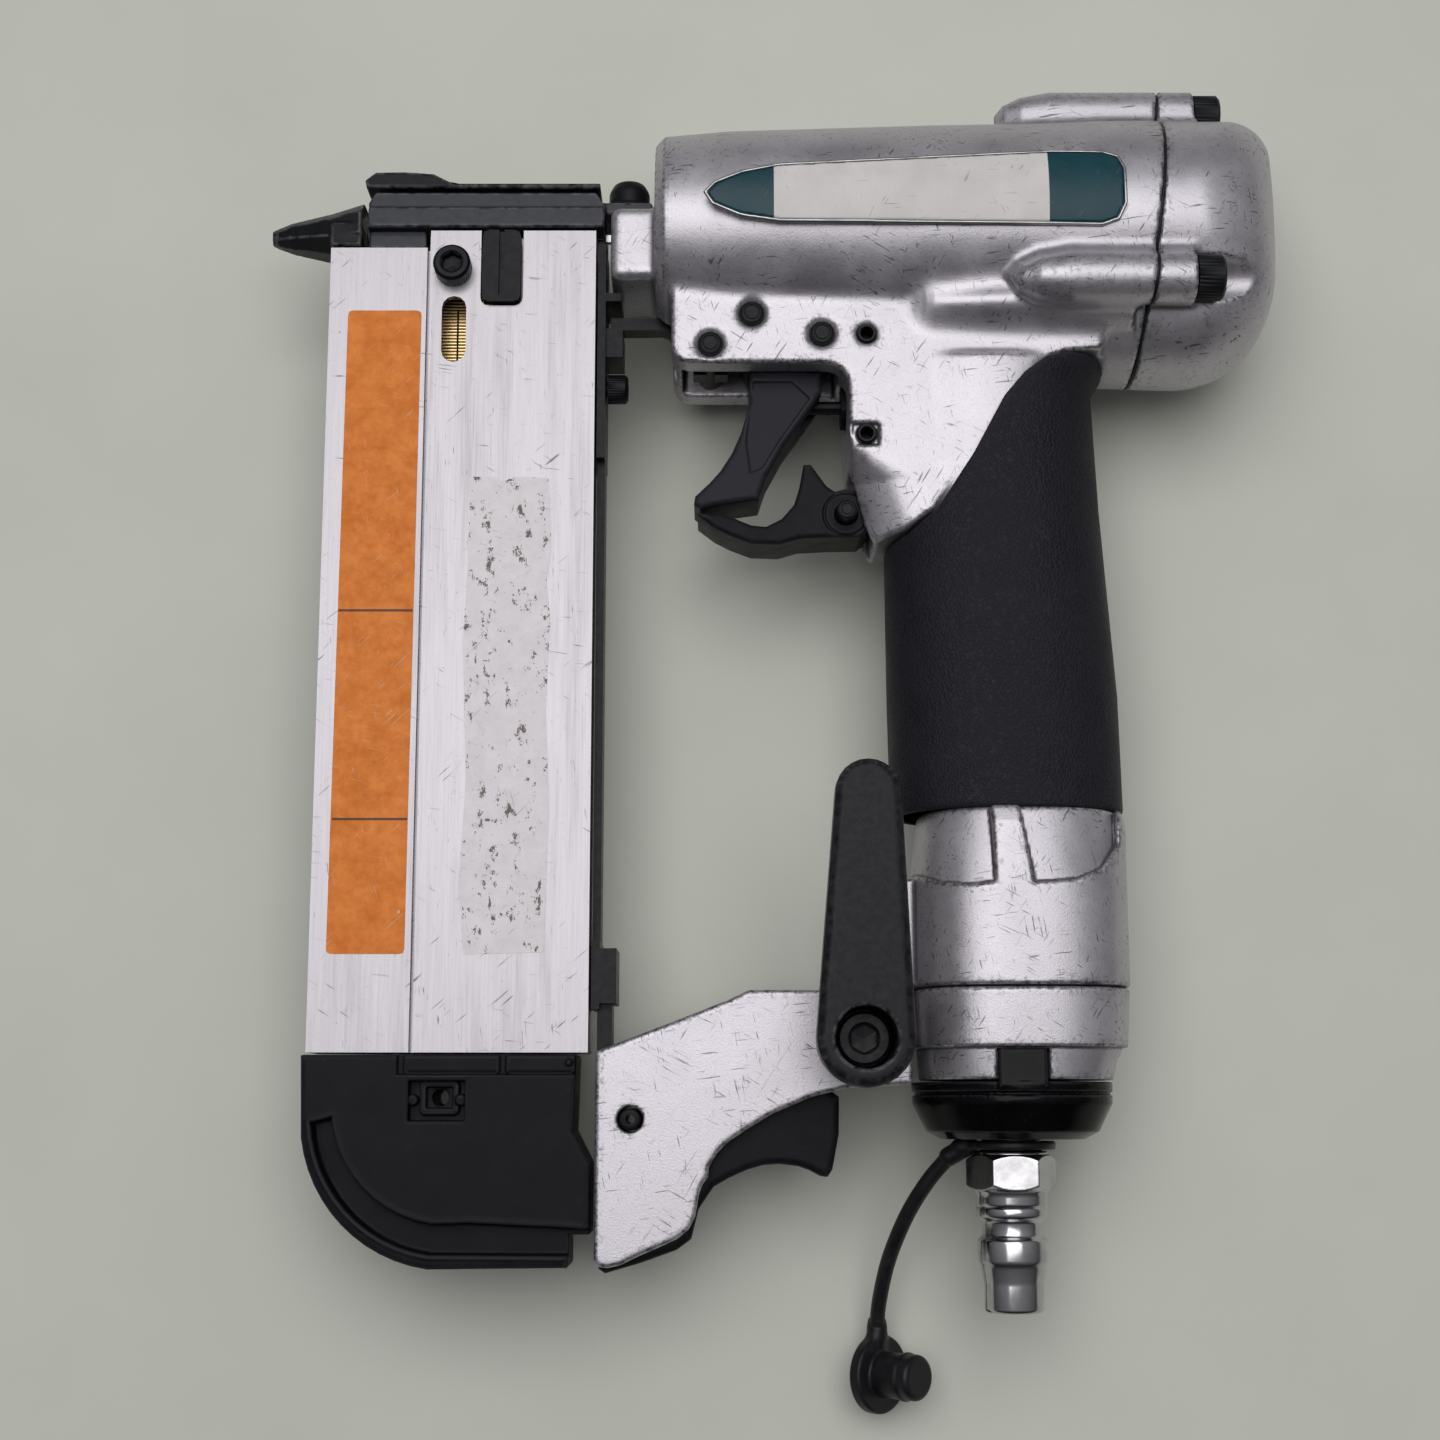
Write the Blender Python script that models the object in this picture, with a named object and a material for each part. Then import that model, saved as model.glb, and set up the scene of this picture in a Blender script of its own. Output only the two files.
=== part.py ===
"""Pneumatic pin nailer lying on its right side: nose to -X, air plug to -Y, left side up to +Z.

Sizes below are in millimetres, in the tool's own frame: X and Y as in the world, and Z measured
from the tool's mid-plane, which lies SIDE above the surface. Nodes are written in metres.
"""

import math

import bmesh
import bpy
import numpy as np
from mathutils import Matrix, Vector

MM = 0.001
GAP = 0.3  # clearance that touching meshes keep

# Driving dimensions
LENGTH = 192.3  # nose tip to the back of the head cap, along X
HEIGHT = 230.2  # air plug to the top bolt boss, along Y
SIDE = 24.5  # mid-plane above the surface
TIP_X = -LENGTH / 2
BACK_X = LENGTH / 2
TOP_Y = HEIGHT / 2
PLUG_END_Y = -HEIGHT / 2

DRIVE_Y = 85.3  # axis of the cylinder and driver
BARREL_R = 21.6

# Head cap and its parting plane, which leans back towards the top
PARTING_X = 71.3
PARTING_LEAN = math.radians(6.7)
GASKET_THICK = 0.8
BOLT_CIRCLE = 25.0
BOLT_ANGLES = {"top": 90.0, "left": -38.0, "right": 218.0}  # from +Z's side towards +Y
BOSS_R = TOP_Y - DRIVE_Y - BOLT_CIRCLE
BOLT_SEAT_BEHIND = 7.2  # from the parting plane back to the seat of each bolt head
M5_HEAD_R = 4.2
M5_HEAD_LONG = 5.0

# Trigger housing and handle
HOUSING_HALF = 13.0
HOUSING_FRONT_X = -18.9
HOUSING_LOW_Y = 56.2
SLOT_HALF = 7.2
SLOT_TOP_Y = 69.5
HANDLE_FRONT_X = 13.9
GRIP_MID_X = 42.3
GRIP_HALF_X = 21.2
GRIP_HALF_Z = 16.5
GRIP_LOW_Y = -27.2
GRIP_WALL = 2.6
GRIP_EDGE = [(18.6, 22.6), (24.5, 24.4), (29.8, 28.2), (36.4, 38.2), (42.2, 49.0), (46.0, 53.6)]
GRIP_EDGE += [(50.2, 56.8), (55.0, 58.2), (64.0, 58.8)]  # the rubber's edge, in side view
BASE_MID_X = 44.1
BASE_HALF_X = 19.5
BASE_HALF_Z = 19.4
SEAM_Y = -58.3
END_CAP_LOW_Y = -74.5
RING_MID_X = 42.6
RING_R = 18.0
RING_LOW_Y = -84.9
PLUG_X = 42.2

# Magazine
MAG_HALF = 7.0
MAG_LEFT_X = -83.4
SEAM_X = -64.85
MAG_RIGHT_X = -33.3
MAG_TOP_Y = 84.3
MAG_LOW_Y = -69.7
SLIDE_TOP_Y = 80.9
MAG_WALL = 1.3
PIN_LONG = 35.0
PIN_FRONT_X = -82.2

# Joint axes, as points in the tool's frame
TRIGGER_AXIS = (-3.95, 65.7, 0.0)
LOCK_AXIS = (13.55, 29.1, 0.0)
LATCH_AXIS = (-25.7, -81.4, 0.0)
LOCKOUT_AXIS = (-11.65, 59.8, 0.0)
VALVE_Y = 51.5

BODY_PLACES = {
    "root": (0.0, 0.0, 0.0),
    "piston": (0.0, DRIVE_Y, 0.0),
    "head_valve_body": (0.0, DRIVE_Y, 0.0),
    "trigger_body": TRIGGER_AXIS,
    "valve_stem_body": (0.0, VALVE_Y, 0.0),
    "lock_body": LOCK_AXIS,
    "lockout_body": LOCKOUT_AXIS,
    "magazine_body": (SEAM_X, 0.0, 0.0),
    "pusher_body": (SEAM_X, 0.0, 0.0),
    "latch_body": LATCH_AXIS,
}

# name: (colour, roughness, metallic)
MATERIALS = {
    "silver_paint": ((0.62, 0.60, 0.62), 0.38, 0.75),
    "brushed_aluminium": ((0.74, 0.74, 0.75), 0.32, 1.0),
    "black_steel": ((0.022, 0.022, 0.026), 0.42, 0.6),
    "black_plastic": ((0.016, 0.018, 0.026), 0.45, 0.0),
    "grip_rubber": ((0.018, 0.019, 0.026), 0.75, 0.0),
    "seal_rubber": ((0.012, 0.012, 0.013), 0.65, 0.0),
    "bright_steel": ((0.66, 0.65, 0.66), 0.16, 1.0),
    "brass": ((0.72, 0.52, 0.24), 0.3, 1.0),
    "panel_white": ((0.72, 0.70, 0.67), 0.45, 0.0),
    "filter_mesh": ((0.45, 0.46, 0.44), 0.6, 0.6),
}


# ---------------------------------------------------------------- shapes


def clear_scene():
    for thing in list(bpy.data.objects):
        bpy.data.objects.remove(thing)


def turned(point, axis):
    """A point given as (across, up, along), with along on the named axis."""
    u, v, w = point
    return {"x": (w, u, v), "y": (v, w, u), "z": (u, v, w)}[axis]


def closed_loft(rings):
    """A solid through rings of points, with flat ends."""
    bm = bmesh.new()
    made = [[bm.verts.new(p) for p in ring] for ring in rings]
    for low, high in zip(made, made[1:]):
        count = len(low)
        for i in range(count):
            j = (i + 1) % count
            bm.faces.new((low[i], low[j], high[j], high[i]))
    bm.faces.new(made[0])
    bm.faces.new(made[-1])
    bmesh.ops.recalc_face_normals(bm, faces=bm.faces)
    return bm


def prism(outline, low, high, axis="z"):
    """An outline swept from low to high along an axis."""
    return closed_loft([[turned((u, v, w), axis) for u, v in outline] for w in (low, high)])


def box(x0, x1, y0, y1, z0, z1):
    return prism([(x0, y0), (x1, y0), (x1, y1), (x0, y1)], z0, z1)


def arc(cx, cy, radius, start, end, steps):
    """Points on an arc, with both ends, angles in degrees."""
    turn = [math.radians(start + (end - start) * i / steps) for i in range(steps + 1)]
    return [(cx + radius * math.cos(a), cy + radius * math.sin(a)) for a in turn]


def rounded(corners, radius, steps=2):
    """A closed outline whose corners are cut by arcs, each limited by its shorter side."""
    points = []
    count = len(corners)
    for i, corner in enumerate(corners):
        here = Vector(corner)
        before = Vector(corners[i - 1]) - here
        after = Vector(corners[(i + 1) % count]) - here
        half = before.angle(after) / 2
        reach = min(radius / math.tan(half), 0.45 * before.length, 0.45 * after.length)
        start = here + before.normalized() * reach
        end = here + after.normalized() * reach
        for k in range(steps + 1):
            t = k / steps
            mixed = (1 - t) ** 2 * start + 2 * t * (1 - t) * here + t**2 * end
            points.append((mixed.x, mixed.y))
    return points


def lathe(profile, axis, centre, steps=24, ring=False):
    """Profile points (along, radius) turned round an axis; ring closes the profile on itself."""
    cu, cv = centre
    bm = bmesh.new()
    rows = []
    for along, radius in profile:
        if radius == 0:
            rows.append([bm.verts.new(turned((cu, cv, along), axis))] * steps)
            continue
        angles = [math.tau * k / steps for k in range(steps)]
        rows.append(
            [
                bm.verts.new(
                    turned((cu + radius * math.cos(a), cv + radius * math.sin(a), along), axis)
                )
                for a in angles
            ]
        )
    pairs = list(zip(rows, rows[1:]))
    if ring:
        pairs.append((rows[-1], rows[0]))
    for low, high in pairs:
        for k in range(steps):
            n = (k + 1) % steps
            corners = dict.fromkeys((low[k], low[n], high[n], high[k]))
            if len(corners) > 2:
                bm.faces.new(list(corners))
    if not ring:
        for row in (rows[0], rows[-1]):
            if row[0] is not row[1]:
                bm.faces.new(row)
    bmesh.ops.recalc_face_normals(bm, faces=bm.faces)
    return bm


def rod(axis, centre, radius, low, high, steps=20):
    return lathe([(low, radius), (high, radius)], axis, centre, steps)


def tube(axis, centre, inner, outer, low, high, steps=20):
    profile = [(low, inner), (low, outer), (high, outer), (high, inner)]
    return lathe(profile, axis, centre, steps, ring=True)


def torus(axis, centre, at, radius, thick, steps=20, sides=6):
    profile = [
        (at + thick * math.cos(math.tau * k / sides), radius + thick * math.sin(math.tau * k / sides))
        for k in range(sides)
    ]
    return lathe(profile, axis, centre, steps, ring=True)


def oval(cx, cy, rx, ry, power, steps):
    """A superellipse's points: power 2 is an ellipse, more is squarer."""
    points = []
    for k in range(steps):
        a = math.tau * k / steps
        c, s = math.cos(a), math.sin(a)
        points.append(
            (
                cx + rx * math.copysign(abs(c) ** (2 / power), c),
                cy + ry * math.copysign(abs(s) ** (2 / power), s),
            )
        )
    return points


def egg(top_y, top_r, low_y, low_r, steps=32):
    """Outline (y, z) round two circles, one above the other."""
    top_mid = top_y - top_r
    low_mid = low_y + low_r
    tangent = math.asin(max(-1.0, min(1.0, (top_r - low_r) / max(top_mid - low_mid, 0.01))))
    points = []
    for k in range(steps):
        a = math.tau * (k + 0.5) / steps
        from_top = min(a, math.tau - a)
        on_top = from_top < math.pi / 2 + tangent
        mid, radius = (top_mid, top_r) if on_top else (low_mid, low_r)
        points.append((mid + radius * math.cos(a), radius * math.sin(a)))
    return points


def moved(bm, matrix):
    bmesh.ops.transform(bm, matrix=matrix, verts=bm.verts)
    return bm


def about(bm, point, angle, axis):
    """The shape turned by an angle in radians round a line through a point."""
    there = Matrix.Translation(point)
    return moved(bm, there @ Matrix.Rotation(angle, 4, axis) @ there.inverted())


def scratch_object(bm):
    mesh = bpy.data.meshes.new("scratch")
    bm.to_mesh(mesh)
    bm.free()
    thing = bpy.data.objects.new("scratch", mesh)
    bpy.context.scene.collection.objects.link(thing)
    return thing


def combined(base, join=(), cut=(), keep=()):
    """One solid: base with shapes joined to it, then cut from it, then kept only inside others."""
    thing = scratch_object(base)
    helpers = []
    for operation, shapes in (("UNION", join), ("DIFFERENCE", cut), ("INTERSECT", keep)):
        for shape in shapes:
            helper = scratch_object(shape)
            helpers.append(helper)
            modifier = thing.modifiers.new(operation.lower(), "BOOLEAN")
            modifier.operation = operation
            modifier.solver = "EXACT"
            modifier.object = helper
    graph = bpy.context.evaluated_depsgraph_get()
    bm = bmesh.new()
    bm.from_object(thing, graph)
    for used in (thing, *helpers):
        bpy.data.objects.remove(used)
    bmesh.ops.remove_doubles(bm, verts=bm.verts, dist=0.002)
    bmesh.ops.dissolve_limit(
        bm, angle_limit=math.radians(0.6), verts=bm.verts, edges=bm.edges
    )
    return bm


# ---------------------------------------------------------------- nodes


def make_materials():
    for name, (colour, roughness, metallic) in MATERIALS.items():
        material = bpy.data.materials.new(name)
        material.use_nodes = True
        surface = material.node_tree.nodes["Principled BSDF"]
        surface.inputs["Base Color"].default_value = (*colour, 1.0)
        surface.inputs["Roughness"].default_value = roughness
        surface.inputs["Metallic"].default_value = metallic


def make_bodies():
    """An empty for each moving body, on its joint's axis, under one empty for the whole tool."""
    tool = bpy.data.objects.new("nail_gun_frame", None)
    tool.location = (0, 0, SIDE * MM)
    bpy.context.scene.collection.objects.link(tool)
    for name, place in BODY_PLACES.items():
        holder = bpy.data.objects.new(name + "_axis", None)
        holder.parent = tool
        holder.location = Vector(place) * MM
        bpy.context.scene.collection.objects.link(holder)


def node(name, bm, material, body="root", bevel=0.0):
    """Writes a solid as a named object on its body, with an optional small bevel on hard edges."""
    place = Vector(BODY_PLACES[body])
    moved(bm, Matrix.Scale(MM, 4) @ Matrix.Translation(-place))
    mesh = bpy.data.meshes.new(name)
    bm.to_mesh(mesh)
    bm.free()
    mesh.shade_smooth()
    mesh.set_sharp_from_angle(angle=math.radians(35))
    mesh.materials.append(bpy.data.materials[material])
    thing = bpy.data.objects.new(name, mesh)
    thing.parent = bpy.data.objects[body + "_axis"]
    bpy.context.scene.collection.objects.link(thing)
    if bevel:
        modifier = thing.modifiers.new("edges", "BEVEL")
        modifier.width = bevel * MM
        modifier.segments = 1
        modifier.limit_method = "ANGLE"
        modifier.angle_limit = math.radians(50)
    return thing


def swept(name, points, thick, material, body="root", sides=0):
    """A round bar along points in the tool's frame, as a curve with filled caps."""
    place = Vector(BODY_PLACES[body])
    curve = bpy.data.curves.new(name, "CURVE")
    curve.dimensions = "3D"
    curve.bevel_depth = thick * MM
    curve.bevel_resolution = sides
    curve.use_fill_caps = True
    line = curve.splines.new("POLY")
    line.points.add(len(points) - 1)
    for slot, point in zip(line.points, points):
        slot.co = (*((Vector(point) - place) * MM), 1.0)
    curve.materials.append(bpy.data.materials[material])
    thing = bpy.data.objects.new(name, curve)
    thing.parent = bpy.data.objects[body + "_axis"]
    bpy.context.scene.collection.objects.link(thing)
    return thing


def spring(name, axis, centre, radius, wire, low, high, turns, body="root", per_turn=8):
    """A coil spring of round wire between low and high along an axis."""
    count = int(turns * per_turn)
    points = []
    for k in range(count + 1):
        a = math.tau * k / per_turn
        along = low + wire + (high - low - 2 * wire) * k / count
        spot = (centre[0] + radius * math.cos(a), centre[1] + radius * math.sin(a), along)
        points.append(turned(spot, axis))
    return swept(name, points, wire, "bright_steel", body)


# ---------------------------------------------------------------- body casting and head


def bolt_spot(key, reach=BOLT_CIRCLE):
    """(y, z) of a head bolt's axis."""
    a = math.radians(BOLT_ANGLES[key])
    return DRIVE_Y + reach * math.sin(a), reach * math.cos(a)


def seat_x(key):
    """Where a bolt head sits along X: the same depth behind the leaning parting plane for all."""
    lean = (bolt_spot(key)[0] - DRIVE_Y) * math.tan(PARTING_LEAN)
    return PARTING_X + lean + BOLT_SEAT_BEHIND


def beyond_parting(offset):
    """A large block behind the parting plane, moved back by offset, clear of the handle."""
    block = box(0, 200, -33, 200, -100, 100)
    block = moved(block, Matrix.Translation((PARTING_X + offset, DRIVE_Y, 0)))
    return about(block, (PARTING_X, DRIVE_Y, 0), -PARTING_LEAN, "Z")


def boss_bar(key, start_x, end_x):
    """The ridge over a head bolt: a bar with a long tapered front end."""
    profile = [(start_x, 0), (start_x + 3, 2.2), (start_x + 9, 4.0), (start_x + 16, BOSS_R)]
    profile += [(end_x, BOSS_R)]
    return lathe(profile, "x", bolt_spot(key), 12)


def head_outline(x0, x1, grow=0.0):
    """The egg-shaped flange where the body meets the head cap, between two planes."""
    top = DRIVE_Y + BARREL_R + 0.4
    sections = [
        (x0, top - 0.6, BARREL_R, 61.0, 12.0),
        (x0 + 14, top, BARREL_R + 0.2, 56.2, 15.0),
        (x1, top, BARREL_R + 0.2, 55.6, 17.0),
    ]
    rings = [
        [(x, y, z) for y, z in egg(ty + grow, tr + grow, ly - grow, lr + grow)]
        for x, ty, tr, ly, lr in sections
    ]
    return closed_loft(rings)


def barrel_shape():
    front = HOUSING_FRONT_X - 3.1
    profile = [(front, 0), (front, 16.2), (front + 1.4, 18.4), (front + 4, 19.6)]
    profile += [(30, 21.0), (66, BARREL_R + 0.3), (80, BARREL_R + 0.3), (80, 0)]
    return lathe(profile, "x", (DRIVE_Y, 0), 36)


def handle_sections(shrink=0.0):
    """Handle rings from the neck down to the seam with the end cap."""
    rows = [
        (56.0, GRIP_MID_X - 2.3, 17.5, 14.2, 2.6),
        (30.0, GRIP_MID_X - 1.3, 17.8, 13.9, 2.4),
        (GRIP_LOW_Y - 8.0, GRIP_MID_X + 0.3, GRIP_HALF_X - GRIP_WALL, 13.9, 2.4),
    ]
    return [
        [(x, y, z) for x, z in oval(mx, 0, hx - shrink, hz - shrink, p, 28)]
        for y, mx, hx, hz, p in rows
    ]


def base_shape():
    rows = [
        (GRIP_LOW_Y, GRIP_MID_X + 0.9, 19.2, 17.6, 2.6),
        (-31.0, BASE_MID_X, BASE_HALF_X - 0.2, 18.4, 2.8),
        (-37.0, BASE_MID_X, BASE_HALF_X, BASE_HALF_Z, 3.0),
        (SEAM_Y, BASE_MID_X, BASE_HALF_X, BASE_HALF_Z, 3.0),
    ]
    return closed_loft(
        [[(x, y, z) for x, z in oval(mx, 0, hx, hz, p, 28)] for y, mx, hx, hz, p in rows]
    )


def air_bulge(grow=0.0):
    """The swelling between barrel and neck that carries air to the head."""
    profile = [(22 - grow, 0), (24, 4.0 + grow), (29, 6.0 + grow), (64, 7.2 + grow), (64, 0)]
    return moved(lathe(profile, "x", (67.0, 0), 16), Matrix.Diagonal((1.0, 1.0, 2.5, 1.0)))


def neck_outline():
    """Side view of the trigger housing and the neck above the grip."""
    points = rounded(
        [(HOUSING_FRONT_X, 78), (HOUSING_FRONT_X, HOUSING_LOW_Y), (0, HOUSING_LOW_Y)], 3.5
    )
    corner = [(HANDLE_FRONT_X - 4.5, HOUSING_LOW_Y)]
    corner += arc(HANDLE_FRONT_X - 4.5, HOUSING_LOW_Y - 4.5, 4.5, 60, 0, 2)
    grip_edge = [(x - 0.3, y + 0.3) for x, y in GRIP_EDGE[:-1]]
    return points[1:] + corner + [(HANDLE_FRONT_X, 31.5), (15.4, 26.6)] + grip_edge + [(61, 58.9), (61, 78)]


def body_housing():
    flats = prism(neck_outline(), -HOUSING_HALF, HOUSING_HALF)
    bosses = [boss_bar(key, 44.0, 84.0) for key in BOLT_ANGLES]
    nose_boss = box(-30.4, -16.0, 73.4, 87.6, -11.0, 11.0)
    arm_boss = box(20.5, 34, -58.0, -39.0, -8.2, 8.2)
    hollow = [
        rod("x", (DRIVE_Y, 0), 14.8, -14.0, 90, 28),
        rod("x", (DRIVE_Y, 0), 17.6, 14.5, 90, 28),
        rod("x", (DRIVE_Y, 0), 1.6, -40, 0, 12),
        box(-17.0, 12.2, 30, SLOT_TOP_Y, -SLOT_HALF, SLOT_HALF),
        rod("x", (VALVE_Y, 0), 4.6, 5, 36, 16),
        closed_loft(
            [
                [(x, y, z) for x, z in oval(GRIP_MID_X, 0, hx, hz, 2.2, 20)]
                for y, hx, hz in ((72, 11, 9), (-30, 13.5, 10.0), (-80, 14.5, 13.5))
            ]
        ),
        box(HOUSING_FRONT_X - 4, -16.0, 58.0, SLOT_TOP_Y, -4.2, 4.2),
    ]
    pins = [(TRIGGER_AXIS, 2.35), (LOCKOUT_AXIS, 2.35), ((9.05, 61.8, 0), 2.35)]
    pins += [((17.3, 61.8, 0), 2.0), ((17.1, 42.6, 0), 2.0), (LOCK_AXIS, 2.0)]
    holes = [rod("z", (p[0], p[1]), r + GAP, -30, 30, 12) for p, r in pins]
    bolts = [rod("x", bolt_spot(key), 2.1 + GAP, 62, 100, 10) for key in BOLT_ANGLES]
    fork = [
        box(4.0, 18.6, 18.0, 36.5, -7.0, 7.0),
        rod("z", LOCK_AXIS[:2], 5.6, 6.9, 30, 20),
        rod("z", (14.6, -67.8), 2.0, -30, 30, 12),
    ]
    shape = combined(
        closed_loft(handle_sections()),
        join=[flats, base_shape(), barrel_shape(), head_outline(48, 84), nose_boss]
        + [air_bulge(), arm_boss]
        + bosses,
        cut=[beyond_parting(-GASKET_THICK / 2 - GAP)] + hollow + holes + bolts + fork,
    )
    node("body_housing", shape, "silver_paint")


def cap_shape():
    """The closed end of the tool: egg-shaped, its back curved more across Z than along Y."""
    top, low = DRIVE_Y + BARREL_R + 0.4, 55.6
    mid = (top + low) / 2
    rows = [(50.0, 1.0, 1.0), (82.5, 1.0, 1.0), (88.0, 0.97, 0.94), (91.2, 0.925, 0.84)]
    rows += [(93.6, 0.86, 0.68), (95.3, 0.75, 0.44), (BACK_X, 0.6, 0.18)]
    rings = []
    for x, tall, wide in rows:
        ring = egg(top, BARREL_R + 0.2, low, 17.0)
        lift = (1 - tall) * 5.0
        rings.append([(x, mid + lift + (y - mid) * tall, z * wide) for y, z in ring])
    return closed_loft(rings)


def head_cap():
    bosses = [boss_bar(key, 44.0, seat_x(key)) for key in BOLT_ANGLES]
    bolts = [rod("x", bolt_spot(key), 2.1 + GAP, 50, 100, 10) for key in BOLT_ANGLES]
    seats = [rod("x", bolt_spot(key), M5_HEAD_R + 0.5, seat_x(key), 99, 16) for key in BOLT_ANGLES]
    shape = combined(
        cap_shape(),
        join=bosses,
        cut=[
            rod("x", (DRIVE_Y, 0), 17.6, 50, 84, 28),
            rod("x", (DRIVE_Y, 0), 8.0, 50, 90, 20),
            rod("x", (65.0, 0), 5.5, 50, 80, 14),
        ]
        + bolts
        + seats,
        keep=[beyond_parting(GASKET_THICK / 2 + GAP)],
    )
    node("head_cap", shape, "silver_paint")


def head_gasket():
    """A thin sheet between body and cap, with the bore, the air way and the bolt holes."""
    sheet = box(-GASKET_THICK / 2, GASKET_THICK / 2, -60, 60, -60, 60)
    sheet = moved(sheet, Matrix.Translation((PARTING_X, DRIVE_Y, 0)))
    sheet = about(sheet, (PARTING_X, DRIVE_Y, 0), -PARTING_LEAN, "Z")
    bolts = [rod("x", bolt_spot(key), 2.1 + GAP, 50, 100, 10) for key in BOLT_ANGLES]
    ears = [rod("x", bolt_spot(key), BOSS_R - 0.3, 50, 100, 12) for key in BOLT_ANGLES]
    shape = combined(
        cap_shape(),
        join=ears,
        cut=[rod("x", (DRIVE_Y, 0), 17.6, 50, 90, 28), rod("x", (65.0, 0), 5.5, 50, 80, 14)]
        + bolts,
        keep=[sheet],
    )
    node("head_gasket", shape, "seal_rubber")


def head_bolts():
    for key in BOLT_ANGLES:
        seat = seat_x(key) + GAP
        end = seat + M5_HEAD_LONG
        head = lathe(
            [(64, 0), (64, 2.1), (seat, 2.1), (seat, M5_HEAD_R), (end, M5_HEAD_R), (end, 2.3)]
            + [(end - 2.6, 2.1), (end - 2.6, 0)],
            "x",
            bolt_spot(key),
            12,
        )
        node("cap_bolt_" + key, head, "black_steel")


# ---------------------------------------------------------------- drive train


def drive_parts():
    node(
        "cylinder",
        lathe(
            [(-13.6, 12.7), (-13.6, 14.4), (57.0, 14.4), (57.0, 17.2), (60.4, 17.2), (60.4, 12.7)],
            "x",
            (DRIVE_Y, 0),
            24,
            ring=True,
        ),
        "bright_steel",
    )
    node("bumper", tube("x", (DRIVE_Y, 0), 3.0, 12.2, -13.2, 4.0, 20), "seal_rubber")
    node("head_seal", torus("x", (DRIVE_Y, 0), 62.3, 15.2, 0.9), "seal_rubber")
    profile = [(50.0, 0), (50.0, 12.0), (52.2, 12.0), (52.2, 10.9), (54.4, 10.9), (54.4, 12.0)]
    profile += [(58.0, 12.0), (58.0, 8.0), (55.6, 6.0), (55.6, 0)]
    node("piston", lathe(profile, "x", (DRIVE_Y, 0), 24), "brushed_aluminium", "piston")
    node("piston_ring", torus("x", (DRIVE_Y, 0), 53.3, 11.9, 0.65), "seal_rubber", "piston")
    blade = box(PIN_FRONT_X + PIN_LONG + 1.2, 50.0 - GAP, DRIVE_Y - 0.7, DRIVE_Y + 0.7, -0.7, 0.7)
    node("driver_blade", blade, "bright_steel", "piston")
    valve = [(64.2, 0), (64.2, 17.0), (68.5, 17.0), (68.5, 12.0), (71.5, 7.4), (78.0, 7.4)]
    valve += [(78.0, 4.0), (70.0, 4.0), (70.0, 0)]
    node("head_valve", lathe(valve, "x", (DRIVE_Y, 0), 24), "black_plastic", "head_valve_body")
    spring("head_valve_spring", "x", (DRIVE_Y, 0), 10.4, 0.8, 72.6, 83.4, 3)


# ---------------------------------------------------------------- nose and magazine


def nose_parts():
    guide = combined(
        box(-76.6, -31.6, MAG_TOP_Y + GAP, 92.2, -8.0, 8.0),
        join=[
            box(-76.6, SEAM_X - 0.7, 81.3, MAG_TOP_Y + 1.0, -5.6, 5.6),
            box(-33.0, -22.6, 88.0, 90.6, -6.0, 6.0),
        ],
        cut=[
            box(-90, -20, 80, DRIVE_Y + 1.3, -1.3, 1.3),
            rod("y", (0, -27.3), 2.1 + GAP, 80, 96, 12),
        ],
    )
    node("driver_guide", guide, "black_steel", bevel=0.4)
    bump = prism(
        rounded([(-77.4, 92.5), (-77.4, 94.2), (-75.2, 96.1), (-64.2, 95.7), (-60.8, 93.9)], 1.0)
        + [(-32.4, 93.9), (-32.4, 92.5)],
        -7.6,
        7.6,
    )
    node("guide_plate", bump, "black_steel")
    rows = [
        (TIP_X, 85.6, 1.7, 1.5),
        (TIP_X + 2.2, 85.7, 2.4, 2.2),
        (-88.5, 86.0, 5.3, 4.6),
        (-83.9, 86.3, 6.2, 6.4),
        (-77.8, 86.9, 6.9, 7.4),
    ]
    cone = closed_loft(
        [[(x, y, z) for y, z in oval(my, 0, hy, hz, 2.6, 16)] for x, my, hy, hz in rows]
    )
    nose = combined(
        cone,
        cut=[
            rod("x", (DRIVE_Y, 0), 1.2, -110, -60, 10),
            box(MAG_LEFT_X - GAP, -60, 60, MAG_TOP_Y - 3.2, -9, 9),
            box(MAG_LEFT_X - GAP, -60, 60, DRIVE_Y, -1.0, 1.0),
        ],
    )
    node("nose_tip", nose, "black_steel")
    bolt = lathe(
        [(88.2, 0), (88.2, 2.1), (91.0, 2.1), (91.0, 3.8), (94.5, 3.8), (96.6, 2.4), (96.6, 0)],
        "y",
        (0, -27.3),
        14,
    )
    node("nose_bolt", bolt, "black_steel")


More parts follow.
